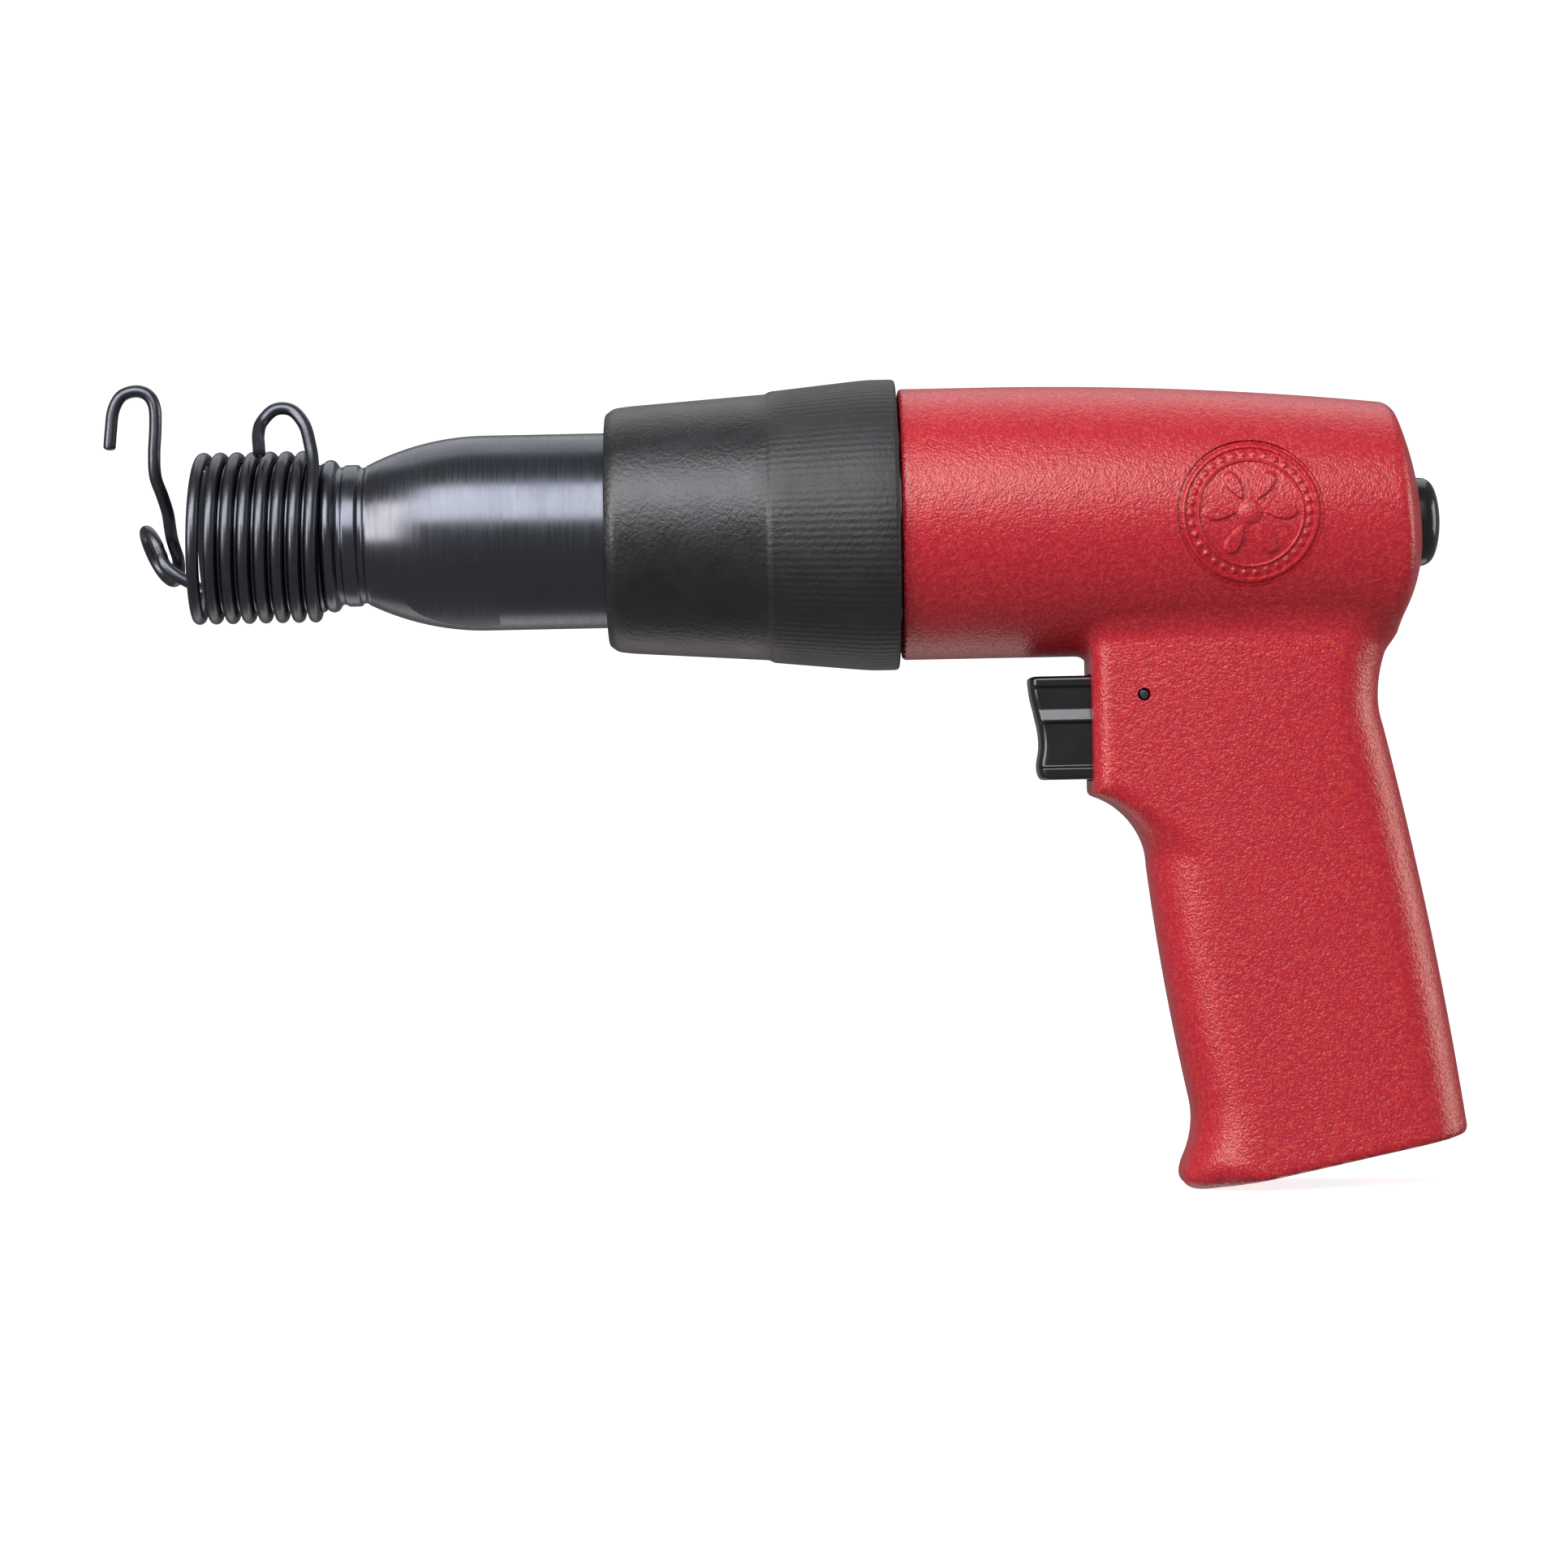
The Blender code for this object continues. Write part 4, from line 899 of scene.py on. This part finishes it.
# %% Coil, bail and lead
TAIL_R = 1.2                   # the tail inside the gate's loop is a little thinner
tail = loop_arc(76.0, -4.0, 28)
lead = through([tail[-1], (-151.4, 13.8, -4.4), (-149.0, 13.4, -6.6), (-145.9, 13.4, -8.4)], 10)[:-1]
coil_turn = COIL_START - 2.0 * math.pi * np.linspace(0.0, COIL_TURNS, 540)
coil = np.stack([COIL_FRONT_X + COIL_PITCH * (COIL_START - coil_turn) / (2.0 * math.pi),
                 COIL_R * np.cos(coil_turn), COIL_R * np.sin(coil_turn)], axis=-1)
bail = through([coil[-1], (-118.0, -9.8, 14.2), (-118.7, -7.8, 18.2), (-120.0, -5.8, 22.4),
                (-122.6, -4.6, 25.4), (-126.0, -4.5, 25.6), (-128.6, -5.4, 23.0), (-129.1, -7.4, 20.4),
                (-128.8, -9.6, 18.0), (-128.5, -11.3, 15.9)], 8)[1:]
spring_path = np.concatenate([tail, lead[1:], coil, bail])
spring_radius = np.full(len(spring_path), WIRE_R)
spring_radius[:len(tail) - 1] = TAIL_R
wire_piece("retainer_coil_wire", spring_path, spring_radius, "tool_body", "retainer_spring")

# %% Gate loop, arm and hook
flat = loop_arc(5.0, 78.0, 19)
rising = loop_arc(78.0, 340.0, 61, 3.22)
arm = through([rising[-1], (-149.9, 15.0, 0.6), (-150.0, 12.4, 3.2), (-150.0, 9.4, 6.0),
               (-150.7, 6.9, 9.4), (-151.8, 5.4, 13.2), (-151.9, 4.8, 17.7), (-151.5, 4.6, 23.4),
               (-151.6, 4.5, 27.4), (-152.9, 4.5, 29.85), (-155.4, 4.5, 30.7), (-158.3, 4.5, 29.75),
               (-160.0, 4.5, 26.9), (-160.6, 4.5, 22.9), (-161.0, 4.5, 18.7)], 8)
wire_piece("retainer_gate_wire", np.concatenate([flat, rising[1:], arm[1:]]), WIRE_R, "gate_body",
           "retainer_hook")

# %% [markdown]
# ## The trigger
# A moulded thumb of black acetal that slides in its pocket. Its face is hollowed for a finger, its
# sides are relieved between a top band and a bottom lip, and one sloping rib crosses them. Each
# level is a rounded rectangle whose front follows the hollow and whose width follows the relief.


# %% Trigger
TRIGGER_TOP_Z = -31.5
TRIGGER_LOW_Z = -52.5
TRIGGER_REAR_X = 51.2
TRIGGER_EDGE_R = 0.8
FRONT_CORNER_R = 1.9
REAR_CORNER_R = 0.5


def trigger_points():
    """Rings from top to bottom: the front comes from a curve through a few knots, the half width
    from soft steps, and the end rings draw in along a quarter circle."""
    face = through([(TRIGGER_TOP_Z, 25.6), (-33.0, 25.6), (-36.0, 25.95), (-39.2, 26.7), (-42.8, 27.4),
                    (-46.0, 27.55), (-49.2, 27.05), (-51.0, 27.2), (TRIGGER_LOW_Z, 27.7)], 12)
    level = np.linspace(TRIGGER_TOP_Z, TRIGGER_LOW_Z, 150)
    front = np.interp(-level, -face[:, 0], face[:, 1])
    rib = np.interp(-level, (38.3, 40.3, 40.7, 41.2), (0.0, 1.0, 1.0, 0.0))
    width = (6.35 + 0.6 * step_up(-34.0, -33.4, level) + 0.55 * (1.0 - step_up(-50.3, -49.6, level))
             + 0.62 * rib)
    to_end = np.minimum(TRIGGER_TOP_Z - level, level - TRIGGER_LOW_Z)
    short = np.clip(TRIGGER_EDGE_R - to_end, 0.0, TRIGGER_EDGE_R)
    draw = TRIGGER_EDGE_R - np.sqrt(TRIGGER_EDGE_R**2 - short**2)
    turn = np.radians(np.linspace(0.0, 90.0, 9))
    ring = []
    for quarter, radius in enumerate((REAR_CORNER_R, FRONT_CORNER_R, FRONT_CORNER_R, REAR_CORNER_R)):
        a = turn + quarter * math.pi / 2.0
        rear = np.full_like(front, TRIGGER_REAR_X) - draw - radius
        x_corner = rear if quarter in (0, 3) else front + draw + radius
        y_corner = (width - draw - radius) * (1.0 if quarter < 2 else -1.0)
        x = x_corner[:, None] + radius * np.cos(a)
        y = y_corner[:, None] + radius * np.sin(a)
        ring.append(np.stack([x, y, np.repeat(level[:, None], len(a), axis=1)], axis=-1))
    rings = np.concatenate(ring, axis=1)
    top, low = rings[:1].copy(), rings[-1:].copy()
    top[..., :2] = rings[0, :, :2].mean(axis=0)
    low[..., :2] = rings[-1, :, :2].mean(axis=0)
    return np.concatenate([top, rings, low])


trigger = piece(grid_mesh("trigger_thumb", trigger_points()), BLACK_ACETAL, "trigger_body", "trigger")
carve(trigger, [placed(block_mesh("pin_slot", (PIN[0] - 6.3, -12.0, PIN[2] - 1.3),
                                  (PIN[0] + 1.3, 12.0, PIN[2] + 1.3), 1.2))])

# %% [markdown]
# ## Small turned parts that show
# The trigger's pin, the regulator's knob at the back and the air inlet's bushing can be seen, so
# they are turned again with more steps and eased edges. The knob has a slot for a coin or blade.

# %% Pin, knob and inlet bushing
pin_section = eased([(-15.4, 0.0), (-15.4, 1.0, 0.25), (15.4, 1.0, 0.25), (15.4, 0.0)])
piece(turned_mesh("trigger_cross_pin", pin_section, 32, PIN, (0, 1, 0)), BLACK_OXIDE, node="trigger_pin")
knob_section = eased([(109.6, 0.0), (109.45, 3.4, 1.5), (108.7, 6.6, 1.5), (107.8, 8.2, 0.8),
                      (106.4, 8.95, 0.6), (101.7, 9.0, 0.4), (101.7, 4.1), (105.3, 4.1), (105.3, 0.0)])
knob = piece(turned_mesh("regulator_dial", knob_section, 96, (0.0, 0.0, REGULATOR_Z)), BLACK_ACETAL,
             "regulator_body", "regulator_knob")
carve(knob, [placed(block_mesh("knob_slot", (108.0, -0.8, REGULATOR_Z - 6.0),
                               (112.0, 0.8, REGULATOR_Z + 6.0), 0.3))])
bushing_section = eased([(0.0, 6.9), (0.0, 9.5, 0.5), (15.4, 9.5, 0.5), (15.4, 5.9, 0.3), (1.0, 5.9)],
                        closed=True)
thread_x = np.arange(1.0, 15.3, 0.16)
thread = np.stack([thread_x, 6.05 - 0.3 * np.cos(2.0 * math.pi * thread_x / 1.41)], axis=-1)
bushing_section = np.concatenate([bushing_section[:-1], thread[::-1]])
piece(turned_mesh("air_inlet_bushing", bushing_section, 96, INLET_AT, UP_THE_GRIP), ZINC_STEEL,
      node="inlet_bushing")

# %% [markdown]
# ## The throttle spring
# The trigger squeezes this spring by its whole travel. It is made here as its own piece: a helix
# that fills the part's box, with its own copy of the mesh.

# %% Throttle spring
THROTTLE_SPRING_TURNS = 5.5
THROTTLE_WIRE_R = 0.45
low, high = [np.array(corner) / MM - AXES_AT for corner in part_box("throttle_spring")]
throttle_z = 0.5 * (low[2] + high[2])
throttle_coil_r = 0.5 * (high[1] - low[1]) - THROTTLE_WIRE_R
turn = np.linspace(0.0, 2.0 * math.pi * THROTTLE_SPRING_TURNS, 160)
throttle_path = np.stack([np.linspace(low[0] + THROTTLE_WIRE_R, high[0] - THROTTLE_WIRE_R, len(turn)),
                          throttle_coil_r * np.cos(turn),
                          throttle_z + throttle_coil_r * np.sin(turn)], axis=-1)
throttle_spring = wire_piece("throttle_spring_wire", throttle_path, THROTTLE_WIRE_R, "tool_body",
                             "throttle_spring")
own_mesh(throttle_spring)

# %% [markdown]
# ## Finishes for the inner parts
# The other parts inside keep the shapes they were packed with, which fit each other and the joints.
# Each gets the finish of its real material.

# %% Inner parts
INNER_FINISH = {
    "piston": GROUND_STEEL, "valve_seat_plate": GROUND_STEEL, "valve_block": GROUND_STEEL,
    "valve_dowel": GROUND_STEEL, "throttle_stem": GROUND_STEEL,
    "regulator_spool": GROUND_STEEL, "regulator_clip": BLACK_OXIDE, "shuttle_valve": BRONZE,
    "throttle_bushing": BRASS, "throttle_valve": BRASS, "inlet_screen": BRASS,
    "chest_gasket": GASKET_FIBRE, "throttle_o_ring": SEAL_RUBBER, "regulator_o_ring": SEAL_RUBBER,
    "inlet_seal": SEAL_RUBBER,
}
for name, finish in INNER_FINISH.items():
    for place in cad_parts[name].material_slots:
        place.material = finish
print("inner parts finished:", len(INNER_FINISH))

# %% [markdown]
# ## Stage, lights and camera
# The stage is a round white dish: a floor that curves up into a wall, so no edge shows from any
# side. It glows a little, and it is kept out of reflections, so black steel stays black. A wide soft
# box hangs in front and above, one stands at each side, and two panels behind draw the rims.


# %% Stage
def plain_white(name):
    made, tree, shader, place = new_finish(name, 0.9)
    drift = add_node(tree, "TexNoise", {"Vector": place, "Scale": 3.0})
    tint = add_node(tree, "Mix", {
        "Factor": drift.outputs["Fac"], "A": linear("#f4f4f2"), "B": linear("#f8f8f7")},
        data_type="RGBA")
    tree.links.new(tint.outputs["Result"], shader.inputs["Base Color"])
    shader.inputs["Emission Color"].default_value = (1.0, 1.0, 1.0, 1.0)
    shader.inputs["Emission Strength"].default_value = 0.8
    return made


floor_z = np.array(cad_box, float)[0][2] / MM - AXES_AT[2]
curve_turn = np.radians(np.linspace(0.0, 90.0, 16))
dish_section = np.concatenate([
    [(0.0, 0.0), (0.0, 800.0)],
    np.stack([400.0 - 400.0 * np.cos(curve_turn), 1600.0 + 400.0 * np.sin(curve_turn)], axis=-1),
    [(1500.0, 2000.0)]])
floor = placed(turned_mesh("white_dish", dish_section, 96, (-25.0, 0.0, floor_z), (0, 0, 1)))
floor.data.materials.append(plain_white("matt_white_paper"))
floor.data.shade_smooth()
floor.visible_glossy = False
floor.visible_diffuse = False
floor.visible_shadow = False


# %% Lights
def soft_box(name, azimuth, elevation, distance, width, height, watts, colour):
    """A soft box that faces the tool; azimuth runs from the camera's side towards +X."""
    a, e = math.radians(azimuth), math.radians(elevation)
    away = Vector((math.sin(a) * math.cos(e), -math.cos(a) * math.cos(e), math.sin(e)))
    lamp = bpy.data.lights.new(name, "AREA")
    lamp.shape = "RECTANGLE"
    lamp.size = width
    lamp.size_y = height
    lamp.energy = watts
    lamp.color = linear(colour)[:3]
    made = bpy.data.objects.new(name, lamp)
    bpy.context.collection.objects.link(made)
    made.location = away * distance
    made.rotation_euler = away.to_track_quat("Z", "Y").to_euler()


soft_box("key_front_above", -14.0, 35.0, 1.15, 0.95, 0.85, 10.5, "#f9fbff")
soft_box("fill_left", -54.0, 16.0, 1.2, 0.5, 0.9, 7.5, "#fffaf6")
soft_box("fill_right_behind", 92.0, 8.0, 1.2, 0.6, 0.8, 5.0, "#fff4ee")
soft_box("panel_behind_above", 180.0, 55.0, 1.1, 1.2, 0.9, 3.2, "#fbfcff")
soft_box("panel_behind_below", 180.0, -46.0, 1.1, 1.2, 0.5, 1.7, "#fff2ec")
world = bpy.data.worlds.new("pale_room")
world.use_nodes = True
world.node_tree.nodes["Background"].inputs["Color"].default_value = linear("#f2f4f8")
world.node_tree.nodes["Background"].inputs["Strength"].default_value = 0.2
bpy.context.scene.world = world
bpy.context.scene.view_settings.view_transform = "Standard"

# %% Camera
CAMERA_DISTANCE = 0.9
ROLL = math.radians(1.15)      # the tool lies turned by this much in the view
camera = bpy.data.cameras.new("front_view")
camera.sensor_width = 36.0
camera.lens = 101.6
viewer = bpy.data.objects.new("front_view", camera)
bpy.context.collection.objects.link(viewer)
viewer.location = (0.0005, -CAMERA_DISTANCE, -0.0004)
viewer.rotation_mode = "XYZ"
viewer.rotation_euler = (math.pi / 2.0, ROLL, 0.0)
bpy.context.scene.camera = viewer
